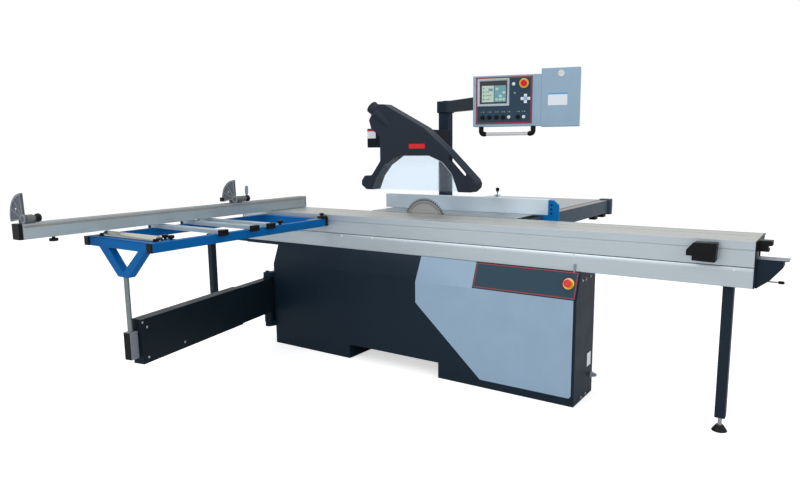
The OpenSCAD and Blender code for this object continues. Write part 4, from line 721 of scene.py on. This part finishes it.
# Cross-cut stops: rim, ribs and screw on each flap, sleeve and knob on its spindle
STOP_X = -2899
RIM = [(121.5, a) for a in range(93, 190, 4)] + [(109, a) for a in range(189, 92, -4)]
RIB = ((26, -3), (112, -2), (112, 2), (26, 3))
for side, y, sleeve in (("left", -1628, 30), ("right", -330, 62)):
    flap, stop = "flap_" + side, "stop_" + side
    axis = Vector((STOP_X, y, 1003))
    face = axis + Vector((0, 0.5, 0))
    ribs = [slab([face + r * spoke(a) for r, a in RIM], (0, -3.5, 0), 0.6)]
    for a in (95, 128, 158, 186):
        ribs.append(slab([face + spoke(a) * r + spoke(a + 90) * w for r, w in RIB], (0, -3.0, 0), 0.5))
    ribs.append(turned(face, NEAR, [(0, 24), (3, 24), (4, 22), (4, 12), (2, 11)], 28))
    fit(joined(*ribs), "flap_ribs_" + side, rib_grey, flap)
    fit(screw(axis + 70 * spoke(143), NEAR, 8), "flap_screw_" + side, steel, flap)
    fit(turned(axis + Vector((0, 12, 0)), FAR,
               [(0, 17.6), (1, 19), (sleeve, 19), (sleeve + 2, 17.6), (sleeve + 8, 16)], 28),
        "stop_sleeve_" + side, sleeve_grey, stop)
    fit(knob(axis + Vector((0, sleeve + 14, 0)), FAR, 21, 38, 0.6, 10), "stop_knob_" + side, black_plastic,
        stop)
fit(turned((STOP_X, -233, 1012), (0, 0.05, 1), [(0, 6), (14, 6), (18, 9), (36, 11), (64, 10), (72, 6)], 20),
    "stop_lever_right", grey_plastic, "stop_right")
fit(block((-3040, -336, 984), (-3006, -312, 1010), 2.5), "flap_pad", black_plastic, "flap_right")

# Scale strip along the cross-cut fence
fit(block((-2906.4, -1626, 957), (-2905.5, 326, 968.5), 0.2), "fence_scale", scale_film, "crosscut")

# Outrigger: slat caps, corner plate and knobs, clamp at the carriage
CORNER_X = (-2522, -2474)
fit(joined(*[block((x0, y - 2, 864), (x1, y + 52, 897), 3)
             for y in (-876, -654, -529) for x0, x1 in ((-2419.5, -2394), (-3030, -3004.5))]),
    "slat_end_caps", black_plastic, "carriage")
fit(joined(block((-2546, -1184, 862), (-2460, -1092, 871), 2), block((-2546, -1184, 844), (-2538, -1092, 866), 2)),
    "corner_plate", blue_paint, "carriage")
fit(joined(*[knob((x, -1127, 870), UP, 17, 26, 0.45, 12) for x in CORNER_X]),
    "corner_knobs", black_plastic, "carriage")
fit(knob((-2442, -395, 873), UP, 17, 28, 0.45, 12), "bar_knob", black_plastic, "carriage")
fit(joined(block((-2466, -44, 872), (-2416, -1, 890), 3), block((-2424, -16, 828), (-2413, -1, 884), 2.5),
           knob((-2446, -22, 889), UP, 15, 20, 0.5, 12)),
    "carriage_clamp", black_plastic, "carriage")
fit(block((-2460, -150, 872), (-2424, -48, 877), 1.2), "clamp_plate", zinc, "carriage")

# Support arm: screws on the box; on the lower part of the rod, black near faces for its sleeve and grey infeed faces
# that are a painted highlight of the sleeve's lit side
ROD_SPLIT_Z = 420
fit(joined(*[screw((34.4, y, z), INFEED, 7) for y, z in ((-1132, 409), (-862, 251), (-1133, 247), (-1160, 440))]),
    "arm_screws", steel, "arm_end", ARM)
second_finish(rod, black_plastic, lambda centre, normal: normal.y < -FACING and centre.z < ROD_SPLIT_Z)
# Grey on the sleeve's infeed-facing faces: painted highlight on its lit side
second_finish(rod, rib_grey, lambda centre, normal: normal.x > FACING and centre.z < ROD_SPLIT_Z)

# Rip fence, and its rail, whose top near the saw is painted black as painted shade of the dark gap before the table
RAIL_SPLIT_Y = 586
open_whole(rail)
bpy.ops.mesh.bisect(plane_co=MACHINE @ Vector((0, RAIL_SPLIT_Y, 0)), plane_no=FAR)
bpy.ops.object.mode_set(mode="OBJECT")
# Top faces in front of RAIL_SPLIT_Y turn black: painted shade of the gap there
second_finish(rail, painted_shade_black, lambda centre, normal: normal.z > FACING and centre.y < RAIL_SPLIT_Y)
second_finish(rail, fence_aluminium, lambda centre, normal: normal.z > FACING and centre.y > RAIL_SPLIT_Y)
fit(joined(*[screw((-1155, 593.5, z), NEAR, 6) for z in (964, 937, 913)]),
    "bracket_screws", black_plastic, "rip")
fit(joined(block((-1281, 1884, 786), (-1193, 1942, 905), 4), block((-1276, 1900, 792), (-1189, 1926, 900), 3)),
    "rip_rail_cap", rail_paint, "frame")
fit(joined(*[block((-1262, y, 772), (-1214, y + 62, 797), 3) for y in (1600, 1790)]),
    "rip_rail_feet", black_plastic, "frame")
fit(turned((-1530, 625, 1034), UP, [(0, 6), (3, 10), (10, 12), (16, 12), (21, 9), (24, 4)], 24),
    "rip_knob", black_plastic, "rip_handle")

# ---------------------------------------------------------------- floor, light and camera

FLOOR_SIZE, FLOOR_GLOW, WORLD_FILL = 80, 0.6, 0.45
WHITE = (1, 1, 1, 1)


def any_ray(tree, *kinds):
    """An output that is 1 for a ray of one of the named kinds."""
    path = tree.nodes.new("ShaderNodeLightPath")
    either = path.outputs[kinds[0]]
    for kind in kinds[1:]:
        most = tree.nodes.new("ShaderNodeMath")
        most.operation = "MAXIMUM"
        tree.links.new(either, most.inputs[0])
        tree.links.new(path.outputs[kind], most.inputs[1])
        either = most.outputs[0]
    return either


def studio_floor():
    """Pale paper that takes the shadow and looks white to the camera and through the window."""
    clear()
    bpy.ops.mesh.primitive_plane_add(size=FLOOR_SIZE, location=(0, 0, 0))
    floor = bpy.context.object
    floor.name = "studio_floor"
    paper = Finish("pale_paper", tone(238, 239, 241), 0.85)
    lit = paper.node("Emission", Color=WHITE, Strength=FLOOR_GLOW)
    total = paper.node("AddShader")
    seen = paper.node("MixShader")
    paper.link(any_ray(paper.tree, "Is Camera Ray", "Is Transmission Ray"), seen.inputs[0])
    paper.link(paper.shader.outputs[0], total.inputs[0])
    paper.link(lit.outputs[0], total.inputs[1])
    paper.link(paper.shader.outputs[0], seen.inputs[1])
    paper.link(total.outputs[0], seen.inputs[2])
    paper.link(seen.outputs[0], paper.tree.nodes["Material Output"].inputs["Surface"])
    floor.data.materials.append(paper.material)


def studio_world():
    """Soft light all round, and plain white where it is seen."""
    world = bpy.data.worlds.new("white_studio")
    world.use_nodes = True
    bpy.context.scene.world = world
    tree = world.node_tree
    soft = tree.nodes["Background"]
    white = tree.nodes.new("ShaderNodeBackground")
    for light, strength in ((soft, WORLD_FILL), (white, 1.0)):
        light.inputs["Color"].default_value = WHITE
        light.inputs["Strength"].default_value = strength
    mix = tree.nodes.new("ShaderNodeMixShader")
    tree.links.new(any_ray(tree, "Is Camera Ray", "Is Glossy Ray", "Is Transmission Ray"), mix.inputs[0])
    tree.links.new(soft.outputs[0], mix.inputs[1])
    tree.links.new(white.outputs[0], mix.inputs[2])
    tree.links.new(mix.outputs[0], tree.nodes["World Output"].inputs["Surface"])


def soft_box(name, place, aim, size, power):
    """A square lamp at place, turned to aim."""
    lamp = bpy.data.lights.new(name, "AREA")
    lamp.shape, lamp.size, lamp.energy = "SQUARE", size, power
    obj = bpy.data.objects.new(name, lamp)
    bpy.context.collection.objects.link(obj)
    obj.location = place
    obj.rotation_euler = (Vector(aim) - Vector(place)).to_track_quat("-Z", "Y").to_euler()


def photo_camera():
    """The photograph's viewpoint: 34.7 degrees round, 9 degrees down, rolled by less than a degree."""
    focal_px, width_px, sensor, reach = 649.62, 800, 36.0, 200
    viewpoint = Vector((313.0, -3131.4, 1318.1))
    azimuth, elevation, roll = (math.radians(a) for a in (34.718, 8.997, -0.675))
    right = Vector((math.cos(azimuth), math.sin(azimuth), 0))
    ahead = Vector((-math.sin(azimuth) * math.cos(elevation), math.cos(azimuth) * math.cos(elevation),
                    -math.sin(elevation)))
    up = right.cross(ahead)
    across = math.cos(roll) * right + math.sin(roll) * up
    upward = -math.sin(roll) * right + math.cos(roll) * up
    camera = bpy.data.objects.new("photo_camera", bpy.data.cameras.new("photo_camera"))
    camera.data.sensor_width = sensor
    camera.data.lens = focal_px / width_px * sensor
    camera.data.clip_end = reach
    turn = Matrix((across, upward, -ahead)).transposed().to_4x4()
    camera.matrix_world = Matrix.Translation(MACHINE @ viewpoint) @ turn
    bpy.context.collection.objects.link(camera)
    bpy.context.scene.camera = camera


studio_floor()
studio_world()
soft_box("key_light", (-1.5, -5.0, 4.2), (0, 0, 0.7), 3.5, 115)
soft_box("side_light", (5.5, -2.5, 3.2), (0.3, 0, 0.7), 3.0, 75)
soft_box("top_light", (0.5, 0.8, 5.5), (0, 0, 0), 4.5, 80)
photo_camera()
bpy.context.scene.view_settings.view_transform = "Standard"
